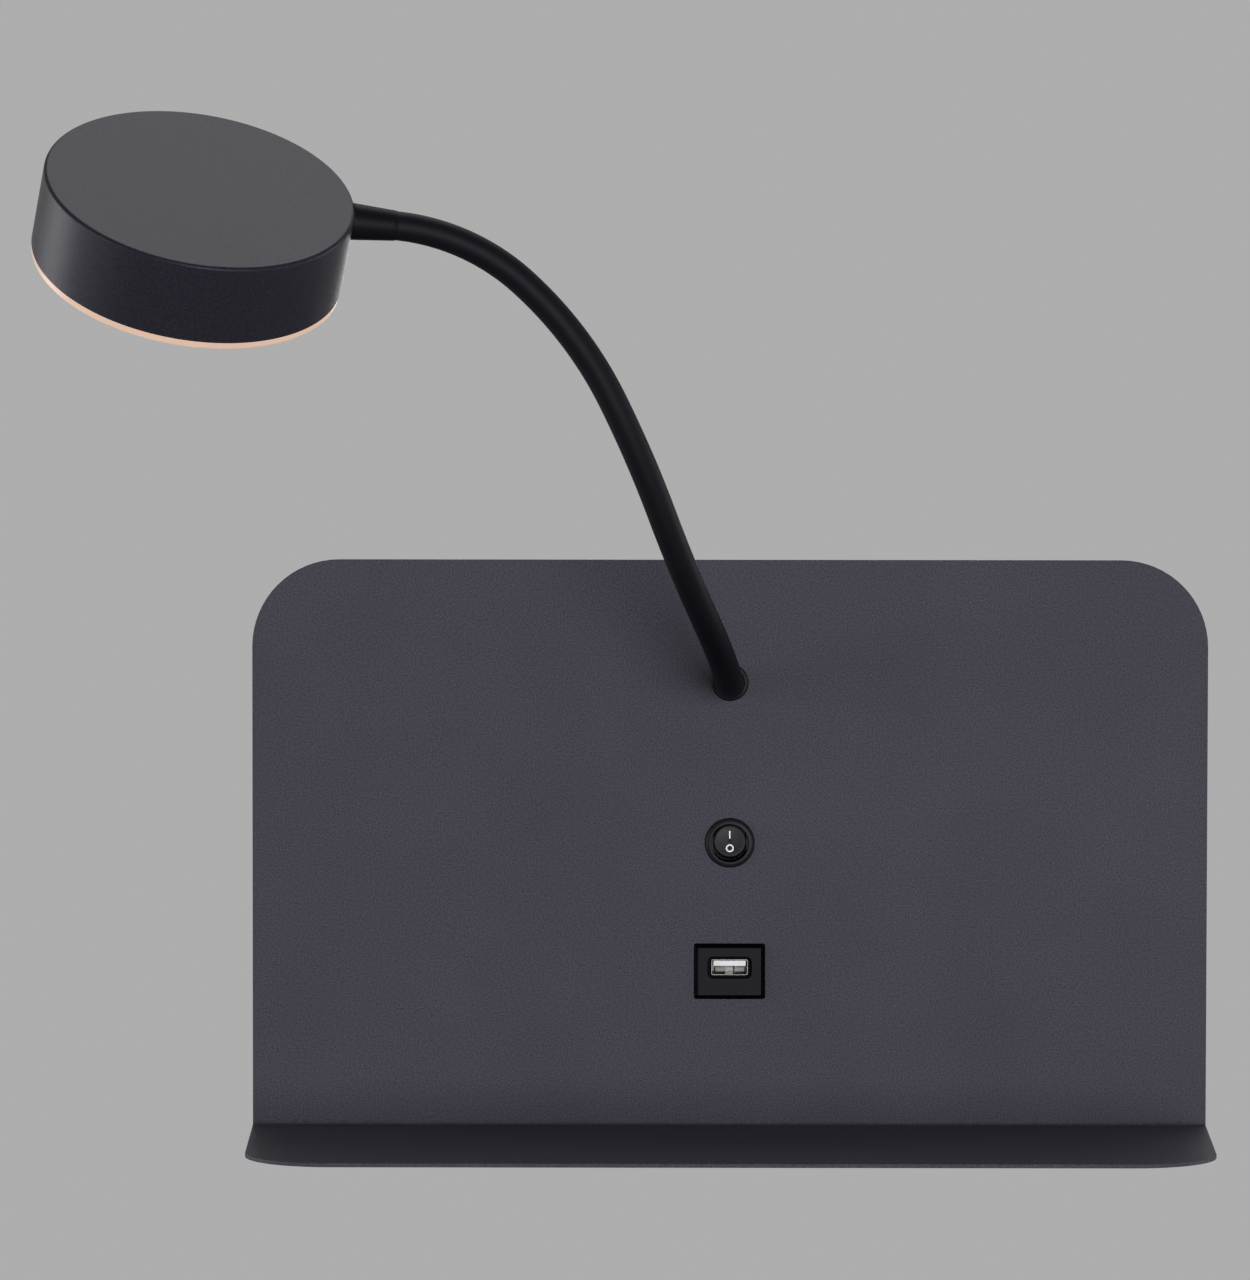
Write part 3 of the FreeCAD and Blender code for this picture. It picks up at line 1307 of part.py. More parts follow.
arcs = gooseneck_arcs()
on_the_head = head_placement(arcs[-1].end)
wall_pieces = [
    make_shelf_panel(),
    make_panel_studs(),
    make_stud_nuts(),
    make_rear_housing(),
    make_wall_bracket(),
    make_side_screws(),
    make_led_driver(),
    make_terminal_block(),
    make_clamp_screws(),
    make_fixing_screws(),
    make_switch_body(),
    make_switch_rocker(),
    make_switch_terminals(),
    make_socket_body(),
    make_usb_shell(),
    make_usb_tongue(),
    make_usb_contacts(),
    make_charger_board(),
    make_arm_bush(),
    make_arm_washer(),
    make_arm_nut(),
    make_gooseneck_base(),
]
head_pieces = [
    make_head_housing(),
    make_arm_collar(),
    make_grub_screw(),
    make_led_board(),
    make_leds(),
    make_board_screws(),
    make_diffuser(),
]
for piece in head_pieces:
    piece.Placement = on_the_head
pieces = wall_pieces + make_gooseneck_links(arcs) + head_pieces

doc.recompute()
for item in doc.Objects:
    for trouble in ("Invalid", "Error"):
        if trouble in item.State:
            raise RuntimeError(f"{item.Label}: {item.State}")
for piece in pieces:
    if piece.Shape.isNull() or not piece.Shape.isValid() or not piece.Shape.Solids:
        raise RuntimeError(f"{piece.Label} has no sound shape")

for number, arc in enumerate(arcs, start=1):
    hinge = arc.start
    across = (X_AXIS - hinge.along * hinge.along.dot(X_AXIS)).normalize()
    print(f"bend {number}: at {tuple(round(c, 4) for c in hinge.point)}",
          f"along {tuple(round(c, 5) for c in hinge.along)}",
          f"across {tuple(round(c, 5) for c in across)}", f"radius {arc.radius:.1f}")
print("head", on_the_head)

os.makedirs("parts", exist_ok=True)
for piece in pieces:
    piece.Shape.exportStep(os.path.join("parts", piece.Label + ".step"))
    solids = len(piece.Shape.Solids)
    print(f"{piece.Label}: {solids} solid(s), {piece.Shape.Volume:.1f} mm3")
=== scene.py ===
"""Looks of the wall lamp with shelf.

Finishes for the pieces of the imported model, one smooth sleeve over the gooseneck, the marks on the
rocker, the springs in the USB socket, and the stage with its lamps and camera. Everything is in
metres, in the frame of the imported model: origin on the wall, +X right, +Y into the wall, +Z up.
"""
import json
import math

import bmesh
import bpy
import numpy as np
from bpy.props import FloatProperty, FloatVectorProperty, IntProperty, PointerProperty
from bpy.types import Operator, Panel, PropertyGroup
from mathutils import Matrix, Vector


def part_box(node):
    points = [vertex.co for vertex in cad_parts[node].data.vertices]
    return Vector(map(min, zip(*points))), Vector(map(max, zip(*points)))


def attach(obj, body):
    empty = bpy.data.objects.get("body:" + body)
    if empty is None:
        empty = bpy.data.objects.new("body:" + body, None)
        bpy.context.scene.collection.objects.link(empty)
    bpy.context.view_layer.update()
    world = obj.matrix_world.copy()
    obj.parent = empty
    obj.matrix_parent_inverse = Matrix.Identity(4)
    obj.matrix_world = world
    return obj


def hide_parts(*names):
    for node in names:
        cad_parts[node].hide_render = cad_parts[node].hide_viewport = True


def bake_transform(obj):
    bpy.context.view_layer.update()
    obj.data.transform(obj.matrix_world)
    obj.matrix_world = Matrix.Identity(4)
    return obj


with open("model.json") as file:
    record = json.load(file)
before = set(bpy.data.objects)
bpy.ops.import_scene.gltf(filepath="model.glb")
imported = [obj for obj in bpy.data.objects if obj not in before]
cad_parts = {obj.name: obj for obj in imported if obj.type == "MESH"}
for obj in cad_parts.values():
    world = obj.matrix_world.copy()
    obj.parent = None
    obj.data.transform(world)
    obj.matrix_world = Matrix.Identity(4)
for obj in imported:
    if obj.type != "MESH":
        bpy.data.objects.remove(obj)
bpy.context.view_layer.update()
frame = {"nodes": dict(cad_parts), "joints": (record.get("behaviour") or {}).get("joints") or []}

bl_info = {
    "name": "Wall lamp with shelf",
    "version": (1, 0, 0),
    "blender": (4, 5, 0),
    "location": "3D View > Sidebar > Wall lamp",
    "description": "Finishes the packed wall lamp: coats, sleeve, switch, socket, head and stage",
    "category": "Object",
}

MM = 0.001
SHEET = 1.4 * MM  # thickness of the folded sheet; the studs stand on its back
PANEL_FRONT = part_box("panel_studs")[0].y - SHEET
WALL_UNIT = "wall_unit"
BENDS = [joint for joint in frame["joints"] if joint["name"].startswith("arm_bend")]

WHITE = (1, 1, 1, 1)
DOUBLE = 1e-7  # nearer than this, two points of a new piece are one
WELD = 1e-6  # nearer than this, two corners of a CAD node's triangles are one
STRAIGHT = 1e-5  # an arc that turns by less, in radians, is a straight run
FILLED = 1e-3  # inner outline of a filled mark, as a share of its outer one
SIGHT = 1000.0  # how far the camera sees, in metres
MIX_A, MIX_B, MIX_RESULT = 6, 7, 2  # the colour sockets of a Mix node
NOISE_LOW, NOISE_HIGH = 0.25, 0.75  # where most of a noise's values lie
NOISE_ROUGHNESS = 0.6
CLOUD_SIZE, CLOUD_SHADE = 0.05, 0.06  # slow shading of every surface: its size in metres, its share

# Profiles of the socket's springs: depth behind the shell's front and height above its middle,
# in mm. Along the curve through them there is a point every SPRING_STEP of depth.
SIDE_SPRING = ((1.2, -1.45), (2.2, -0.75), (3.4, -0.1), (4.4, -0.08), (6.0, -0.9), (8.0, -2.05),
               (9.5, -2.4))
MIDDLE_SPRING = ((1.0, -2.38), (1.8, -2.0), (2.6, -1.35), (3.05, -0.6), (3.5, -0.1),
                 (4.4, -0.05), (6.6, -1.2), (8.4, -2.2), (9.5, -2.4))
SPRING_STEP = 0.25

# Soft boxes: place, what it faces, width in metres and power in watts
HEAD_MIDDLE = (-0.18, -0.18, 0.24)
PANEL_MIDDLE = (0, 0, 0.1)
SOFT_BOXES = {
    "top_box": ((0.2, 1.05, 2.0), HEAD_MIDDLE, 1.4, 15.5),
    "front_box": ((0.7, -3.0, 0.12), (0, 0, 0.05), 1.3, 79.0),
    "right_box": ((2.3, -1.4, 0.0), PANEL_MIDDLE, 1.2, 10.0),
    "left_box": ((-2.4, -0.9, 0.0), PANEL_MIDDLE, 1.2, 24.0),
    "back_box": ((0.2, 3.0, -0.2), (0, 0, 0), 1.2, 14.0),
    "left_rim": ((-2.4, 0.9, 0.0), HEAD_MIDDLE, 1.0, 20.0),
    "right_rim": ((2.4, 0.9, 0.0), HEAD_MIDDLE, 1.0, 16.0),
}

# Finishes: base colour, roughness, distance and height of the grain in mm, and what more the
# grain and the shader are given
FINISHES = {
    "bush_coat": ((0.002, 0.002, 0.0025), 0.45, 0.6, 0.01, {"Specular IOR Level": 0.1}),
    "collar_coat": ((0.0025, 0.0024, 0.004), 0.5, 0.6, 0.01, {"Specular IOR Level": 0.08}),
    "zinc": ((0.4, 0.41, 0.43), 0.42, 4.0, 0.004, {"grain_shade": 0.06, "Metallic": 1.0}),
    "black_screw": ((0.02, 0.02, 0.022), 0.4, 1.0, 0.005, {}),
    "driver_case": ((0.7, 0.7, 0.68), 0.5, 0.6, 0.01, {}),
    "terminal_plastic": ((0.75, 0.72, 0.62), 0.45, 1.0, 0.01, {}),
    "circuit_board": ((0.02, 0.12, 0.05), 0.35, 1.0, 0.01, {}),
    "tinned_brass": ((0.6, 0.56, 0.45), 0.3, 1.0, 0.003, {"Metallic": 1.0}),
    # The switch body's finish also gets painted shade behind the bezel's front
    "switch_plastic": ((0.0085, 0.0083, 0.0108), 0.4, 0.5, 0.008, {"Specular IOR Level": 0.1}),
    "rocker_plastic": ((0.0145, 0.0142, 0.018), 0.45, 0.5, 0.008, {"Specular IOR Level": 0.15}),
    "white_print": ((0.75, 0.75, 0.77), 0.5, 0.3, 0.003, {}),
    # Painted shade: the shell is drawn far darker than nickel plate, for the shade it lies in behind
    # the socket's mouth
    "nickel_shell": ((0.12, 0.12, 0.115), 0.4, 0.6, 0.003, {"Metallic": 1.0}),
    "spring_nickel": ((0.56, 0.54, 0.52), 0.5, 0.6, 0.003, {"Metallic": 0.5}),
    "tongue_plastic": ((0.62, 0.62, 0.65), 0.4, 1.0, 0.005, {}),
    # Painted shade: the contacts are drawn as dark gold, for the shade they lie in deep under the
    # tongue
    "gold_contact": ((0.2, 0.14, 0.06), 0.25, 1.0, 0.003, {"Metallic": 1.0}),
    "led_board_white": ((0.8, 0.8, 0.8), 0.4, 1.0, 0.01, {}),
    "led_glow": ((0.9, 0.75, 0.5), 0.4, 1.0, 0.01, {}),
    "opal_diffuser": ((0.25, 0.18, 0.14), 0.35, 1.0, 0.005, {"Specular IOR Level": 0.25}),
}

# Hardware behind the panel, on the casing and in the head, by its finish
HARDWARE = {
    "zinc": ("panel_studs", "stud_nuts", "wall_bracket", "bracket_fixing_screws",
             "terminal_clamp_screws", "arm_lock_washer", "arm_nut", "led_board_screws"),
    "black_screw": ("side_screws", "collar_grub_screw"),
    "driver_case": ("led_driver",),
    "terminal_plastic": ("terminal_block",),
    "circuit_board": ("usb_charger_board",),
    "tinned_brass": ("switch_terminals",),
}


# ---- sizes and colours that a user may change
def length(name, description, millimetres):
    """A length, given in mm and kept in metres."""
    return FloatProperty(name=name, description=description, default=millimetres * MM,
                         unit="LENGTH", subtype="DISTANCE", precision=5)


def colour(name, description, red, green, blue):
    """A colour in linear light."""
    return FloatVectorProperty(name=name, description=description, size=3, min=0, max=1,
                               default=(red, green, blue), subtype="COLOR")


def share(name, description, value):
    """A share from 0 to 1."""
    return FloatProperty(name=name, description=description, default=value, min=0, max=1,
                         subtype="FACTOR")


class CoatSettings(PropertyGroup):
    panel_colour: colour("Panel", "Powder coat of the panel and the shelf", 0.045, 0.0435, 0.056)
    head_colour: colour("Head", "Powder coat of the lamp head", 0.013, 0.0125, 0.018)
    head_roughness: share("Head roughness", "Roughness of the lamp head's coat", 0.42)
    head_gloss: share("Head gloss", "Specular level of the lamp head's coat", 0.15)
    grain_size: length("Grain", "Distance between two grains of the powder coat", 0.6)
    grain_depth: length("Grain depth", "Height of the powder coat's grain", 0.05)
    grain_shade: share("Grain shade", "Lighter and darker grains of the powder coat", 0.54)
    roughness: share("Roughness", "Roughness of the powder coat", 0.6)
    gloss: share("Gloss", "Specular level of the powder coat", 0.13)
    tint: colour("Tint", "Tint of the powder coat's gloss", 0.82, 0.8, 1.0)
    edge: length("Edge", "Rounding of the sheet's edges under the coat", 0.25)


class SleeveSettings(PropertyGroup):
    radius: length("Radius", "Radius of the gooseneck's sleeve", 5.0)
    step: length("Step", "Distance between two rings of the sleeve's mesh", 1.0)
    around: IntProperty(name="Around", description="Points round the sleeve", default=40, min=12)
    bend_reach: length("Bend reach", "From a bending place to where the bend ends", 17.0)
    hidden: length("Hidden", "Sleeve's length behind the panel's front", 9.0)
    rubber: colour("Rubber", "Colour of the sleeve", 0.0022, 0.0022, 0.0036)
    roughness: share("Roughness", "Roughness of the sleeve", 0.55)
    gloss: share("Gloss", "Specular level of the sleeve", 0.12)
    tint: colour("Tint", "Tint of the sleeve's gloss", 0.86, 0.84, 1.0)


class HeadSettings(PropertyGroup):
    top: FloatVectorProperty(name="Top", description="Centre of the head's top face", size=3,
                             default=(-0.182328, -0.180811, 0.239379), subtype="TRANSLATION")
    turn: FloatVectorProperty(name="Turn", description="Head's turn about X, Y and Z", size=3,
                              default=tuple(math.radians(a) for a in (27.5, 6.0, 10.5)),
                              subtype="EULER")
    radius: length("Radius", "Radius of the lamp head", 53.7)
    arm_drop: length("Arm drop", "Arm's axis below the head's top face", 6.9)
    collar: length("Collar", "Length of the collar at the head", 15.5)
    glow: colour("Glow", "Colour of the lit diffuser", 1.0, 0.69, 0.52)
    glow_level: share("Glow level", "Brightness of the lit diffuser", 0.47)
    led_colour: colour("LED colour", "Colour of the LEDs' light", 1.0, 0.8, 0.6)
    led_level: FloatProperty(name="LED level", description="Brightness of the LEDs behind the "
                             "diffuser", default=4.0, min=0)


class StageSettings(PropertyGroup):
    floor: colour("Floor", "Colour of the floor", 0.62, 0.62, 0.62)
    floor_half: length("Floor half", "Half the floor's width", 300000)
    floor_drop: length("Floor drop", "Floor, below the origin", 8000)
    backdrop: share("Backdrop", "Brightness of the floor and the world, as seen", 0.42)
    ambient: share("Ambient", "Light of the world on the lamp", 0.08)
    lens: FloatProperty(name="Lens", description="Focal length in mm", default=321.94)
    sensor: FloatProperty(name="Sensor", description="Film's height in mm", default=36.0)
    spot: FloatVectorProperty(name="Camera", description="Camera's place", size=3,
                              default=(-0.02733, -4.08663, 0.40934), subtype="TRANSLATION")
    yaw: FloatProperty(name="Yaw", description="Camera's turn to the right",
                       default=math.radians(-0.1423), subtype="ANGLE")
    pitch: FloatProperty(name="Pitch", description="Camera's turn down",
                         default=math.radians(4.747), subtype="ANGLE")
    roll: FloatProperty(name="Roll", description="Camera's turn about its axis",
                        default=math.radians(0.0684), subtype="ANGLE")


class SwitchSettings(PropertyGroup):
    pivot_depth: length("Pivot", "From the panel's front to the rocker's pivot", 1.65)
    tilt: FloatProperty(name="Tilt", description="Rocker's turn at rest, upper side in",
                        default=math.radians(14.0), subtype="ANGLE")
    face: length("Face", "From the pivot to the rocker's rim", 3.4)
    dish: length("Dish", "Depth of the rocker's finger dish", 0.35)
    dish_radius: length("Dish radius", "Radius of the finger dish", 4.9)
    bar_width: length("Bar width", "Width of the mark for on", 0.45)
    bar_height: length("Bar height", "Height of the mark for on", 2.8)
    bar_rise: length("Bar rise", "Mark for on, above the rocker's middle", 2.25)
    ring_radius: length("Ring radius", "Middle radius of the mark for off", 1.17)
    ring_width: length("Ring width", "Stroke of the mark for off", 0.5)
    ring_drop: length("Ring drop", "Mark for off, below the rocker's middle", 2.6)
    ring_points: IntProperty(name="Ring points", description="Points round the mark for off",
                             default=48, min=12)
    print_height: length("Print", "Thickness of the printed marks", 0.03)
    edge: length("Edge", "Rounding of the switch's edges", 0.1)
    corner: FloatProperty(name="Corner", description="Edges that turn by more are rounded",
                          default=math.radians(50.0), subtype="ANGLE")
    # Painted shade: this near-black colour goes on the switch body deeper than the bezel's front, in
    # place of the shade in the hollow round the rocker
    recess: colour("Recess", "Recess round the rocker", 0.0006, 0.0006, 0.0008)
    recess_start: length("Recess start", "From the bezel's front to the recess's colour", 1.0)
    recess_step: length("Recess step", "Over which the recess's colour becomes full", 0.15)


class SocketSettings(PropertyGroup):
    # Lit and shaded copies of one black plastic: the face's dark grey is painted sheen of the front
    # light, and the near black of the bevel and the mouth is painted shade and dark reflection,
    # close to the plastic's own colour
    face: colour("Face", "Front face of the socket's bezel", 0.0145, 0.0143, 0.0185)
    # Painted shade and dark reflection on the bevel and the mouth, behind the face's level
    bevel: colour("Bevel", "Bevel and mouth of the socket", 0.0006, 0.0006, 0.0008)
    step: length("Step", "Depth at which the bevel's colour starts; it is full twice as deep", 0.08)
    edge: length("Edge", "Rounding of the socket's edges", 0.12)
    spring_offset: length("Springs", "Side springs, from the socket's middle", 3.4)
    spring_width: length("Spring width", "Width of a side spring", 3.3)
    middle_offset: length("Middle spring", "Middle spring, from the socket's middle", -0.2)
    middle_width: length("Middle width", "Width of the middle spring", 2.9)
    spring_sheet: length("Spring sheet", "Thickness of the springs", 0.25)
    shell_edge: length("Shell edge", "Rounding of the nickel shell's edges", 0.08)


class LampSettings(PropertyGroup):
    """All settings, one group for each piece or group of like pieces"""
    coat: PointerProperty(type=CoatSettings)
    socket: PointerProperty(type=SocketSettings)
    switch: PointerProperty(type=SwitchSettings)
    sleeve: PointerProperty(type=SleeveSettings)
    head: PointerProperty(type=HeadSettings)
    stage: PointerProperty(type=StageSettings)


# ---- meshes
def grid_faces(rows, columns, close_rows):
    """Four-sided faces between neighbours of a grid of rows times columns points. Each row is
    closed to a ring, and where close_rows says so the last row joins the first."""
    row = np.arange(rows if close_rows else rows - 1)
    r, c = np.meshgrid(row, np.arange(columns), indexing="ij")
    r2, c2 = (r + 1) % rows, (c + 1) % columns
    corners = [r * columns + c, r * columns + c2, r2 * columns + c2, r2 * columns + c]
    return np.stack(corners, axis=-1).reshape(-1, 4)


def solid(name, grid, finish, body, close_rows=False, sharp=35.0):
    """A closed piece from a grid of rings, with flat caps on its ends unless they are joined."""
    rows, columns = grid.shape[:2]
    faces = grid_faces(rows, columns, close_rows).tolist()
    if not close_rows:
        faces.append(list(range(columns))[::-1])
        faces.append(list(range((rows - 1) * columns, rows * columns)))
    return piece(name, grid.reshape(-1, 3), faces, finish, body, sharp)


def piece(name, points, faces, finish, body, sharp=35.0):
    """A piece from points and faces, its doubles merged, its normals outwards, and smooth but for
    edges that turn by more than the sharp angle, in degrees. It rides on the body, if one is
    given."""
    mesh = bpy.data.meshes.new(name)
    mesh.from_pydata(np.asarray(points, float).tolist(), [], faces)
    cleaner = bmesh.new()
    cleaner.from_mesh(mesh)
    bmesh.ops.remove_doubles(cleaner, verts=cleaner.verts, dist=DOUBLE)
    bmesh.ops.recalc_face_normals(cleaner, faces=cleaner.faces)
    cleaner.to_mesh(mesh)
    cleaner.free()
    mesh.shade_smooth()
    mesh.set_sharp_from_angle(angle=math.radians(sharp))
    mesh.materials.append(finish)
    made = bpy.data.objects.new(name, mesh)
    bpy.context.scene.collection.objects.link(made)
    if body:
        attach(made, body)
    return made


def rings_along(path, tangents, radius, around):
    """Circles of one radius, square to a path. Each circle's first direction is the last one's
    less what of it lies along the path, made one long again, so that the tube doesn't twist."""
    normal = np.cross(tangents[0], (0.0, 0.0, 1.0))
    normals = [normal / np.linalg.norm(normal)]
    for tangent in tangents[1:]:
        normal = normals[-1] - tangent * (normals[-1] @ tangent)
        normals.append(normal / np.linalg.norm(normal))
    normals = np.array(normals)
    seconds = np.cross(tangents, normals)
    angle = np.linspace(0, 2 * math.pi, around, endpoint=False)
    circle = (normals[:, None, :] * np.cos(angle)[None, :, None]
              + seconds[:, None, :] * np.sin(angle)[None, :, None])
    return path[:, None, :] + radius * circle


# ---- finishes
def set_or_link(tree, socket, value):
    """Gives a socket a plain value, or links another node's output to it."""
    if isinstance(value, bpy.types.NodeSocket):
        tree.links.new(value, socket)
    else:
        socket.default_value = value


def node(tree, kind, **inputs):
    """A new node with its inputs given by name, an underscore for each space."""
    made = tree.nodes.new(kind)
    for name, value in inputs.items():
        set_or_link(tree, made.inputs[name.replace("_", " ")], value)
    return made


def maths(tree, operation, first, second):
    """One step of arithmetic on two numbers or sockets."""
    made = tree.nodes.new("ShaderNodeMath")
    made.operation = operation
    for socket, value in zip(made.inputs, (first, second)):
        set_or_link(tree, socket, value)
    return made.outputs[0]


def new_finish(name, base, roughness, **settings):
    """A material with its plain numbers set on the shader's own sockets."""
    material = bpy.data.materials.new(name)
    material.use_nodes = True
    tree = material.node_tree
    shader = tree.nodes["Principled BSDF"]
    shader.inputs["Base Color"].default_value = (*base, 1)
    shader.inputs["Roughness"].default_value = roughness
    for key, value in settings.items():
        shader.inputs[key].default_value = value
    return material, tree, shader


def speckle_group():
    """Grain and slow shading of a sprayed or moulded surface, from noise at two scales. Each noise
    is spread from 1 - shade to 1 + shade, and the colour is multiplied by both. The height is the
    finer noise."""
    group = bpy.data.node_groups.new("surface_grain", "ShaderNodeTree")
    for name, way, kind in (("Colour", "INPUT", "Color"), ("Grain Size", "INPUT", "Float"),
                            ("Grain Shade", "INPUT", "Float"), ("Cloud Size", "INPUT", "Float"),
                            ("Cloud Shade", "INPUT", "Float"), ("Colour", "OUTPUT", "Color"),
                            ("Height", "OUTPUT", "Float")):
        group.interface.new_socket(name, in_out=way, socket_type="NodeSocket" + kind)
    start = group.nodes.new("NodeGroupInput")
    end = group.nodes.new("NodeGroupOutput")
    place = group.nodes.new("ShaderNodeTexCoord").outputs["Object"]

    def noise(size, detail):
        made = node(group, "ShaderNodeTexNoise", Vector=place, Detail=detail,
                    Roughness=NOISE_ROUGHNESS, Scale=maths(group, "DIVIDE", 1, size))
        return made.outputs["Fac"]

    def around_one(fac, amount):
        made = node(group, "ShaderNodeMapRange", Value=fac, From_Min=NOISE_LOW,
                    From_Max=NOISE_HIGH, To_Min=maths(group, "SUBTRACT", 1, amount),
                    To_Max=maths(group, "ADD", 1, amount))
        made.clamp = False
        return made.outputs["Result"]

    grain = noise(start.outputs["Grain Size"], detail=2.0)
    cloud = noise(start.outputs["Cloud Size"], detail=1.0)
    shade = maths(group, "MULTIPLY", around_one(grain, start.outputs["Grain Shade"]),
                  around_one(cloud, start.outputs["Cloud Shade"]))
    shaded = group.nodes.new("ShaderNodeVectorMath")
    shaded.operation = "SCALE"
    group.links.new(start.outputs["Colour"], shaded.inputs[0])
    group.links.new(shade, shaded.inputs["Scale"])
    group.links.new(shaded.outputs["Vector"], end.inputs["Colour"])
    group.links.new(grain, end.inputs["Height"])
    return group


def grained(name, base, roughness, grain, depth, grain_shade=0.1, **settings):
    """A finish whose colour varies a little and whose grain stands a small height proud."""
    material, tree, shader = new_finish(name, base, roughness, **settings)
    surface = tree.nodes.new("ShaderNodeGroup")
    surface.node_tree = bpy.data.node_groups.get("surface_grain") or speckle_group()
    for key, value in (("Colour", (*base, 1)), ("Grain Size", grain), ("Grain Shade", grain_shade),
                       ("Cloud Size", CLOUD_SIZE), ("Cloud Shade", CLOUD_SHADE)):
        surface.inputs[key].default_value = value
    tree.links.new(surface.outputs["Colour"], shader.inputs["Base Color"])
    bump = node(tree, "ShaderNodeBump", Height=surface.outputs["Height"], Distance=depth,
                Strength=1)
    tree.links.new(bump.outputs["Normal"], shader.inputs["Normal"])
    return material


def listed_finish(name, **more):
    """A finish from the table, with what more its shader is given."""
    base, roughness, grain, depth, settings = FINISHES[name]
    return grained(name, base, roughness, grain * MM, depth * MM, **settings, **more)


def coat_finish(name, base, roughness, gloss):
    """Powder coat of one colour, with the grain and the tint that all coated pieces share."""
    coat = bpy.context.scene.wall_lamp.coat
    return grained(name, base, roughness, coat.grain_size, coat.grain_depth, coat.grain_shade,
                   **{"Specular IOR Level": gloss, "Specular Tint": (*coat.tint, 1)})


def dress(finish, *node_names):
    """Gives CAD nodes one finish."""
    for node_name in node_names:
        mesh = frame["nodes"][node_name].data
        mesh.materials.clear()
        mesh.materials.append(finish)


def soften(node_name, width, corner=math.radians(30.0)):
    """Rounds a CAD node's edges a little where they turn by more than the corner angle, as its
    coat or its mould does."""
    node_object = frame["nodes"][node_name]
    weld = node_object.modifiers.new("weld", "WELD")
    weld.merge_threshold = WELD
    bevel = node_object.modifiers.new("soft_edges", "BEVEL")
    bevel.width = width
    bevel.segments = 2
    bevel.limit_method = "ANGLE"
    bevel.angle_limit = corner
    bevel.use_clamp_overlap = True
    bevel.harden_normals = True


# ---- operators, one for each piece or group of like pieces
class WALLLAMP_OT_stage(Operator):
    """Pale floor, soft lamps, world and the camera at the photograph's angle"""
    bl_idname = "wall_lamp.stage"
    bl_label = "Stage"

    def execute(self, context):
        settings = context.scene.wall_lamp.stage
        add_floor(settings)
        add_world(settings)
        add_lamps()
        add_camera(settings)
        context.scene.view_settings.view_transform = "Standard"
        return {"FINISHED"}


def add_floor(settings):
    """A wide floor, far enough down for views from below. It is lit evenly for the camera and
    for reflections, and by the lamps alone for everything else."""
    half, low = settings.floor_half, -settings.floor_drop
    points = [(-half, -half, low), (half, -half, low), (half, half, low), (-half, half, low)]
    material, tree, shader = new_finish("floor_paint", settings.floor, roughness=0.8,
                                        **{"Specular IOR Level": 0.0})
    glow = settings.backdrop - settings.floor[0] * settings.ambient
    shader.inputs["Emission Color"].default_value = WHITE
    tree.links.new(maths(tree, "MULTIPLY", seen_directly(tree), glow),
                   shader.inputs["Emission Strength"])
    piece("floor", points, [[0, 1, 2, 3]], material, None)


def seen_directly(tree):
    """1 for the camera's rays and for reflected and refracted ones, 0 for light's."""
    path = tree.nodes.new("ShaderNodeLightPath")
    total = path.outputs["Is Camera Ray"]
    for name in ("Is Glossy Ray", "Is Transmission Ray"):
        total = maths(tree, "MAXIMUM", total, path.outputs[name])
    return total


def add_world(settings):
    """A white world, as bright as the backdrop where it is seen, and dim as a light."""
    world = bpy.data.worlds.new("studio")
    bpy.context.scene.world = world
    world.use_nodes = True
    tree = world.node_tree
    background = tree.nodes["Background"]
    background.inputs["Color"].default_value = WHITE
    strength = node(tree, "ShaderNodeMapRange", Value=seen_directly(tree),
                    To_Min=settings.ambient, To_Max=settings.backdrop)
    tree.links.new(strength.outputs["Result"], background.inputs["Strength"])


def add_lamps():
    """Soft boxes: above and behind the head, in front, at each side, behind the casing, and two
    behind that light the head's ends. The camera sees their light and not the boxes."""
    for name, (spot, target, size, power) in SOFT_BOXES.items():
        light = bpy.data.lights.new(name, "AREA")
        light.energy = power
        light.size = size
        lamp = bpy.data.objects.new(name, light)
        lamp.visible_camera = False
        bpy.context.scene.collection.objects.link(lamp)
        ahead = np.array(target) - np.array(spot)
        look_along(lamp, np.array(spot), ahead / np.linalg.norm(ahead))


def look_along(thing, spot, ahead, roll=0.0):
    """Places a lamp or camera whose -Z axis points ahead. Its right is square to ahead and level,
    and both its right and its up are then turned by the roll."""
    right = np.cross(ahead, (0.0, 0.0, 1.0))
    right /= np.linalg.norm(right)
    up = np.cross(right, ahead)
    right, up = (math.cos(roll) * right + math.sin(roll) * up,
                 math.cos(roll) * up - math.sin(roll) * right)
    thing.matrix_world = Matrix([[*row, place] for *row, place in zip(right, up, -ahead, spot)]
                                + [[0, 0, 0, 1]])


def add_camera(settings):
    """A long lens at the photograph's place. It looks (sin yaw cos pitch, cos yaw cos pitch,
    -sin pitch) ahead."""
    data = bpy.data.cameras.new("camera")
    data.sensor_fit = "VERTICAL"
    data.sensor_height = settings.sensor
    data.lens = settings.lens
    data.clip_end = SIGHT
    camera = bpy.data.objects.new("camera", data)
    bpy.context.scene.collection.objects.link(camera)
    yaw, pitch = settings.yaw, settings.pitch
    ahead = np.array([math.sin(yaw) * math.cos(pitch), math.cos(yaw) * math.cos(pitch),
                      -math.sin(pitch)])
    look_along(camera, np.array(settings.spot), ahead, settings.roll)
    bpy.context.scene.camera = camera


class WALLLAMP_OT_panel(Operator):
    """Powder coat of the folded panel, the casing behind it and the bush"""
    bl_idname = "wall_lamp.panel"
    bl_label = "Panel and casing"

    def execute(self, context):
        coat = context.scene.wall_lamp.coat
        panel = coat_finish("panel_coat", coat.panel_colour, coat.roughness, coat.gloss)
        dress(panel, "shelf_panel", "rear_housing")
        soften("shelf_panel", coat.edge)
        dress(listed_finish("bush_coat"), "arm_bush")
        soften("arm_bush", coat.edge)
        return {"FINISHED"}


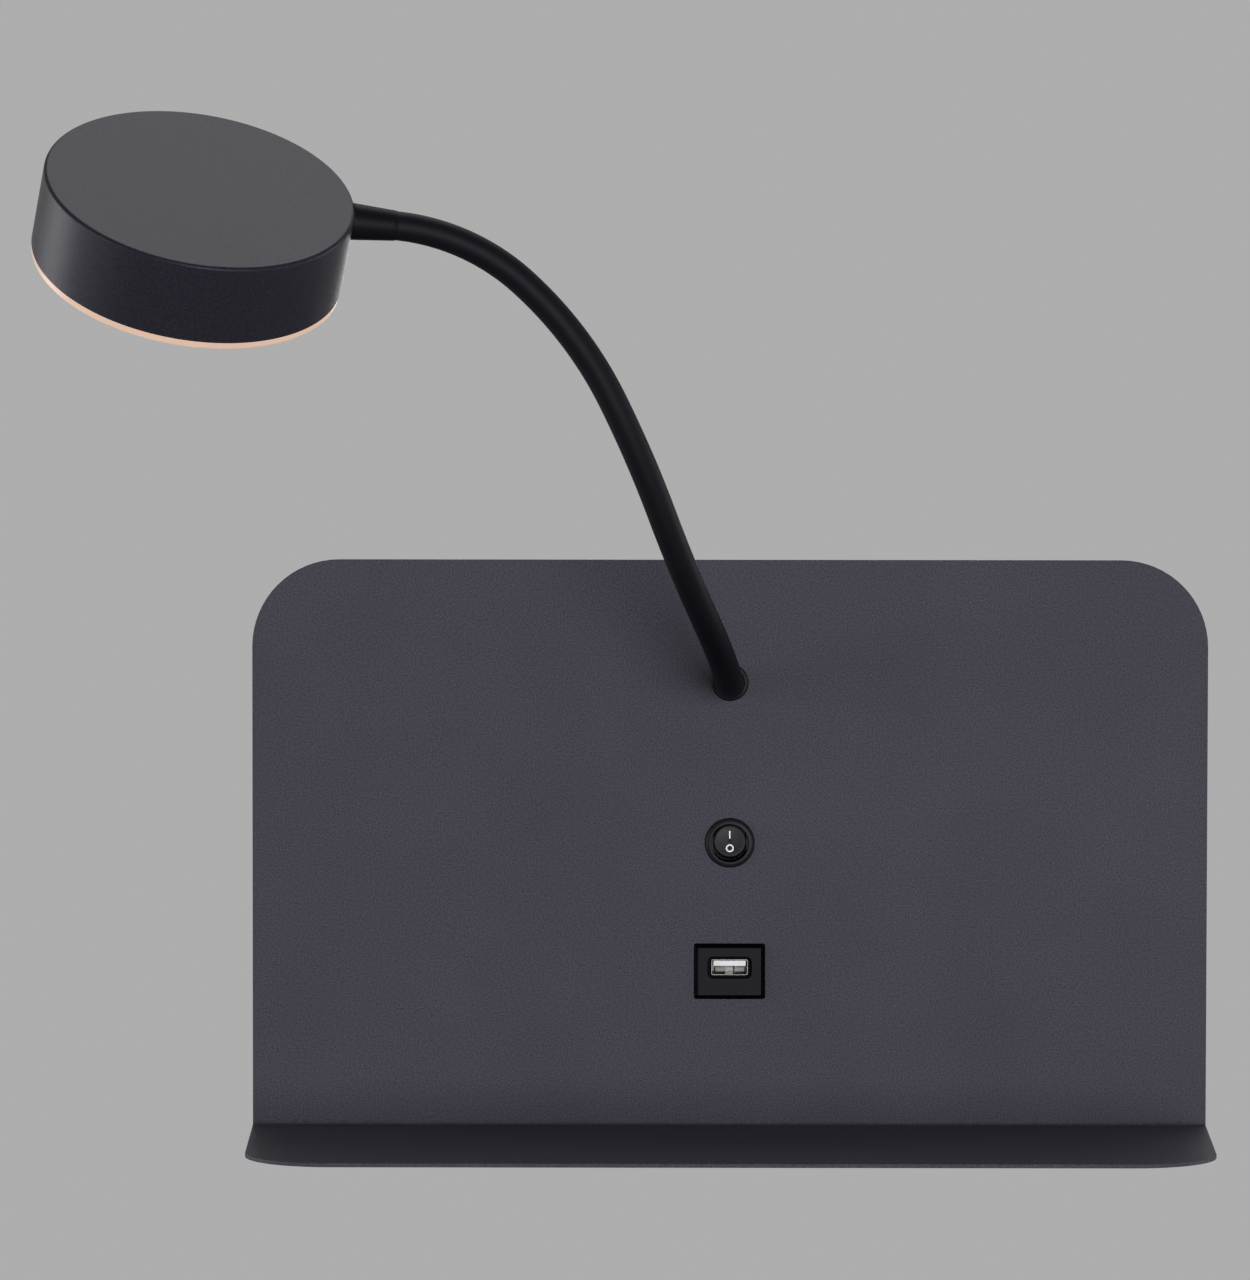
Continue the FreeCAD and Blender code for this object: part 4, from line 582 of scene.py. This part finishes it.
class WALLLAMP_OT_hardware(Operator):
    """Zinc, plastic, brass and circuit board of the hardware"""
    bl_idname = "wall_lamp.hardware"
    bl_label = "Bracket and hardware"

    def execute(self, context):
        for name, node_names in HARDWARE.items():
            dress(listed_finish(name), *node_names)
        return {"FINISHED"}


def on_rocker(settings, across, up, height):
    """Places points on the rocker's dished face, some height above it. The dish is a ball's cap:
    it lies ball - sqrt(ball^2 - r^2) less deep at r from the middle. The rocker is turned about X
    by its tilt."""
    ball = (settings.dish_radius ** 2 + settings.dish ** 2) / (2 * settings.dish)
    shallow = ball - np.sqrt(ball ** 2 - across ** 2 - up ** 2)
    out = settings.face - settings.dish + shallow + height
    cosine, sine = math.cos(settings.tilt), math.sin(settings.tilt)
    return np.stack([across, PANEL_FRONT + settings.pivot_depth - out * cosine + up * sine,
                     up * cosine + out * sine], axis=-1)


def mark(name, settings, outline, inner, ink):
    """A printed mark between an outer and an inner outline, a little proud of the rocker."""
    levels = ((outline, 0.0), (outline, 1.0), (inner, 1.0), (inner, 0.0))
    grid = np.stack([on_rocker(settings, line[:, 0], line[:, 1], level * settings.print_height)
                     for line, level in levels])
    made = solid(name, grid, ink, "rocker", close_rows=True)


class WALLLAMP_OT_switch(Operator):
    """Switch body, rocker and the printed marks on the rocker"""
    bl_idname = "wall_lamp.switch"
    bl_label = "Switch"

    def execute(self, context):
        settings = context.scene.wall_lamp.switch
        body = listed_finish("switch_plastic")
        # Paints shade on the switch body deeper than the bezel's front: the hollow round the rocker
        # is drawn near black
        paint_shade_behind(body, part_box("switch_body")[0].y + settings.recess_start,
                 settings.recess_step, settings.recess)
        dress(body, "switch_body")
        soften("switch_body", settings.edge, settings.corner)
        dress(listed_finish("rocker_plastic"), "switch_rocker")
        soften("switch_rocker", settings.edge, settings.corner)
        ink = listed_finish("white_print")
        angle = np.linspace(0, 2 * math.pi, settings.ring_points, endpoint=False)
        circle = np.stack([np.cos(angle), np.sin(angle)], axis=-1)
        middle = np.array([0.0, -settings.ring_drop])
        outer = settings.ring_radius + settings.ring_width / 2
        inner = settings.ring_radius - settings.ring_width / 2
        mark("off_mark", settings, middle + circle * outer, middle + circle * inner, ink)
        bar = rounded_rectangle(settings.bar_width, settings.bar_height,
                                corner=settings.bar_width / 3, steps=5)
        middle = np.array([0.0, settings.bar_rise])
        mark("on_mark", settings, middle + bar, middle + bar * FILLED, ink)
        return {"FINISHED"}


def rounded_rectangle(width, height, corner, steps):
    """Outline of a rectangle with round corners: a quarter turn, in steps points, round each
    corner's centre."""
    angle = np.linspace(0, math.pi / 2, steps)[None, :] + np.arange(4)[:, None] * math.pi / 2
    signs = np.array([(1, 1), (-1, 1), (-1, -1), (1, -1)])[:, None, :]
    centres = signs * (np.array([width, height]) / 2 - corner)
    arcs = corner * np.stack([np.cos(angle), np.sin(angle)], axis=-1)
    return (centres + arcs).reshape(-1, 2)


def paint_shade_behind(material, front, step, behind):
    """Paints shade on what lies behind a front level: there it gets its own colour, painted shade in
    place of the shade in a hollow.
    The share of it grows from 0 at the level to 1 a step behind."""
    tree = material.node_tree
    shader = tree.nodes["Principled BSDF"]
    face = shader.inputs["Base Color"].links[0].from_socket
    place = tree.nodes.new("ShaderNodeTexCoord").outputs["Object"]
    depth = node(tree, "ShaderNodeSeparateXYZ", Vector=place).outputs["Y"]
    deep = node(tree, "ShaderNodeMapRange", Value=depth, From_Min=front, From_Max=front + step)
    mix = tree.nodes.new("ShaderNodeMix")
    mix.data_type = "RGBA"
    tree.links.new(deep.outputs["Result"], mix.inputs["Factor"])
    tree.links.new(face, mix.inputs[MIX_A])
    # The colour behind the level is painted shade, not a colour of the plastic
    mix.inputs[MIX_B].default_value = (*behind, 1)
    tree.links.new(mix.outputs[MIX_RESULT], shader.inputs["Base Color"])


def strip(name, profile, middle, width, thickness, finish):
    """A bent strip of sheet: each point of its profile, given as depth and height, becomes a
    rectangle of width times thickness that stands square to the profile."""
    profile = np.array(profile)
    ahead = np.gradient(profile, axis=0)
    ahead /= np.linalg.norm(ahead, axis=1)[:, None]
    square = np.stack([-ahead[:, 1], ahead[:, 0]], axis=-1) * thickness / 2
    rings = []
    for side, level in ((-1, -1), (1, -1), (1, 1), (-1, 1)):
        edge = profile + level * square
        across = np.full(len(profile), middle + side * width / 2)
        rings.append(np.stack([across, edge[:, 0], edge[:, 1]], axis=-1))
    made = solid(name, np.stack(rings, axis=1), finish, WALL_UNIT)


def smooth_through(points, step):
    """A curve through the points, sampled every step of depth. Between two points it follows
    the cubic whose slopes at them are those between their neighbours."""
    points = np.array(points)
    depth, height = points.T
    slope = np.gradient(height, depth)
    at = np.arange(depth[0], depth[-1] + step / 2, step)
    number = np.clip(np.searchsorted(depth, at, side="right") - 1, 0, len(depth) - 2)
    span = depth[number + 1] - depth[number]
    t = (at - depth[number]) / span
    curve = ((2 * t ** 3 - 3 * t ** 2 + 1) * height[number]
             + (t ** 3 - 2 * t ** 2 + t) * span * slope[number]
             + (3 * t ** 2 - 2 * t ** 3) * height[number + 1]
             + (t ** 3 - t ** 2) * span * slope[number + 1])
    return np.stack([at, curve], axis=-1)


class WALLLAMP_OT_socket(Operator):
    """USB socket: moulded body, nickel-plated shell with its springs, tongue and contacts"""
    bl_idname = "wall_lamp.socket"
    bl_label = "USB socket"

    def execute(self, context):
        settings = context.scene.wall_lamp.socket
        # Painted light on the socket's body: sheen painted into the face, with its specular kept
        # low, and shade painted behind it
        body = grained("socket_plastic", settings.face, roughness=0.45, grain=0.6 * MM,
                       depth=0.01 * MM, **{"Specular IOR Level": 0.02})
        paint_shade_behind(body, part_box("usb_socket_body")[0].y + settings.step, settings.step,
                 settings.bevel)
        dress(body, "usb_socket_body")
        soften("usb_socket_body", settings.edge)
        # The shell's dark nickel is painted shade
        dress(listed_finish("nickel_shell"), "usb_shell")
        soften("usb_shell", settings.shell_edge)
        bright = listed_finish("spring_nickel")
        dress(listed_finish("tongue_plastic"), "usb_tongue")
        # The contacts' dark gold is painted shade
        dress(listed_finish("gold_contact"), "usb_contacts")
        low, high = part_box("usb_shell")
        front, centre = low.y, (low.z + high.z) / 2
        for name, middle, width, points in (
                ("spring_left", -settings.spring_offset, settings.spring_width, SIDE_SPRING),
                ("spring_right", settings.spring_offset, settings.spring_width, SIDE_SPRING),
                ("spring_middle", settings.middle_offset, settings.middle_width, MIDDLE_SPRING)):
            curve = smooth_through(points, SPRING_STEP) * MM + np.array([front, centre])
            strip(name, curve, middle, width, settings.spring_sheet, bright)
        return {"FINISHED"}


def gooseneck_path(settings, head):
    """Start, heading and end of each arc: from behind the panel to the first bending place, from
    each place to the next, and from the last to the collar. An arc leaves as the last one arrives:
    its heading is the last one's, mirrored in that arc's chord."""
    top, right, up = head_axes(head)
    stops = [np.array(joint["pos_m"]) for joint in BENDS]
    stops.append(top - head.arm_drop * up + (head.radius + head.collar) * right)
    start = np.array([stops[0][0], PANEL_FRONT + settings.hidden, stops[0][2]])
    heading = np.array([0.0, -1.0, 0.0])
    spans = [(start, heading, stops[0])]
    for first, second in zip(stops, stops[1:]):
        spans.append((first, heading, second))
        chord = second - first
        chord /= np.linalg.norm(chord)
        heading = 2 * (heading @ chord) * chord - heading
    return spans


def arc_between(first, heading, second, step):
    """Points and directions along the arc that leaves the first point along the heading and
    ends at the second. With the chord at an angle a to the heading, the arc turns by 2 a and its
    radius is the chord's length / (2 sin a). Turned by t, it has gone radius * sin t along the
    heading and radius * (1 - cos t) to the chord's side."""
    chord = second - first
    reach = np.linalg.norm(chord)
    chord = chord / reach
    angle = math.acos(min(1.0, heading @ chord))
    if angle < STRAIGHT:
        along = np.linspace(0, 1, max(2, round(reach / step) + 1))
        return first + along[:, None] * (second - first), np.tile(chord, (len(along), 1))
    side = chord - (chord @ heading) * heading
    side /= np.linalg.norm(side)
    radius = reach / (2 * math.sin(angle))
    turn = np.linspace(0, 2 * angle, round(2 * radius * angle / step) + 1)[:, None]
    points = first + radius * (np.sin(turn) * heading + (1 - np.cos(turn)) * side)
    return points, np.cos(turn) * heading + np.sin(turn) * side


def head_axes(head):
    """Top face's centre, the direction to the arm and the head's axis."""
    roll, pitch, yaw = head.turn
    turned = rotation(2, yaw) @ rotation(1, pitch) @ rotation(0, roll)
    return np.array(head.top), turned[:, 0], turned[:, 2]


def rotation(axis, angle):
    """Rotation matrix about X (0), Y (1) or Z (2)."""
    first, second = [i for i in range(3) if i != axis]
    matrix = np.eye(3)
    sine = math.sin(angle) if axis != 1 else -math.sin(angle)
    matrix[first, first] = matrix[second, second] = math.cos(angle)
    matrix[first, second], matrix[second, first] = -sine, sine
    return matrix


class WALLLAMP_OT_gooseneck(Operator):
    """One smooth sleeve over the gooseneck, in a length for each bending place"""
    bl_idname = "wall_lamp.gooseneck"
    bl_label = "Gooseneck sleeve"

    def execute(self, context):
        lamp = context.scene.wall_lamp
        settings = lamp.sleeve
        rubber = grained("arm_sleeve", settings.rubber, settings.roughness, grain=0.8 * MM,
                         depth=0.02 * MM, **{"Specular IOR Level": settings.gloss,
                                             "Specular Tint": (*settings.tint, 1)})
        arcs = [arc_between(*span, settings.step) for span in gooseneck_path(settings, lamp.head)]
        covered = ["gooseneck_base"] + [f"gooseneck_link_{n}" for n in range(1, len(BENDS))]
        covered.append("gooseneck_end")
        for number, joint in enumerate(BENDS, start=1):
            # A length runs from the middle of one arc to the middle of the next, the first from
            # behind the panel and the last to the collar
            before, after = arcs[number - 1], arcs[number]
            lead = 0 if number == 1 else len(before[0]) // 2
            end = len(after[0]) if number == len(BENDS) else len(after[0]) // 2 + 1
            points = np.concatenate([before[0][lead:-1], after[0][:end]])
            directions = np.concatenate([before[1][lead:-1], after[1][:end]])
            rings = rings_along(points, directions, settings.radius, settings.around)
            sleeve = solid(f"arm_sleeve_{number}", rings, rubber, None, sharp=60)
            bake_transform(sleeve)
            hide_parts(covered[number - 1])
            if number == len(BENDS):
                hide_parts(covered[-1])
        return {"FINISHED"}


class WALLLAMP_OT_head(Operator):
    """Lamp head: casing, collar, LED board and the lit diffuser"""
    bl_idname = "wall_lamp.head"
    bl_label = "Lamp head"

    def execute(self, context):
        coat = context.scene.wall_lamp.coat
        head = context.scene.wall_lamp.head
        finish = coat_finish("head_coat", coat.head_colour, coat.head_roughness, coat.head_gloss)
        dress(finish, "head_housing")
        dress(listed_finish("collar_coat"), "arm_collar")
        soften("arm_collar", coat.edge)
        dress(listed_finish("led_board_white"), "led_board")
        for name, node_name, glow, level in (
                ("led_glow", "leds", head.led_colour, head.led_level),
                ("opal_diffuser", "diffuser", head.glow, head.glow_level)):
            dress(listed_finish(name, **{"Emission Color": (*glow, 1), "Emission Strength": level}),
                  node_name)
        return {"FINISHED"}


class WALLLAMP_PT_lamp(Panel):
    """Lists the pieces and their settings"""
    bl_idname = "WALLLAMP_PT_lamp"
    bl_label = "Wall lamp with shelf"
    bl_space_type = "VIEW_3D"
    bl_region_type = "UI"
    bl_category = "Wall lamp"

    def draw(self, context):
        for operator in OPERATORS:
            self.layout.operator(operator.bl_idname)
        for part in LampSettings.__annotations__:
            group = getattr(context.scene.wall_lamp, part)
            box = self.layout.box()
            for name in group.__annotations__:
                box.prop(group, name)


OPERATORS = (WALLLAMP_OT_stage, WALLLAMP_OT_panel, WALLLAMP_OT_hardware, WALLLAMP_OT_switch,
             WALLLAMP_OT_socket, WALLLAMP_OT_gooseneck, WALLLAMP_OT_head)
GROUPS = (CoatSettings, SleeveSettings, HeadSettings, StageSettings, SwitchSettings,
          SocketSettings, LampSettings)


def register():
    for kind in (*GROUPS, *OPERATORS, WALLLAMP_PT_lamp):
        bpy.utils.register_class(kind)
    bpy.types.Scene.wall_lamp = PointerProperty(type=LampSettings)


def unregister():
    del bpy.types.Scene.wall_lamp
    for kind in reversed((*GROUPS, *OPERATORS, WALLLAMP_PT_lamp)):
        bpy.utils.unregister_class(kind)


def main():
    """Registers the classes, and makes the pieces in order."""
    register()
    bpy.ops.wall_lamp.stage()
    bpy.ops.wall_lamp.panel()
    bpy.ops.wall_lamp.hardware()
    bpy.ops.wall_lamp.switch()
    bpy.ops.wall_lamp.socket()
    bpy.ops.wall_lamp.gooseneck()
    bpy.ops.wall_lamp.head()


if __name__ == "__main__":
    main()
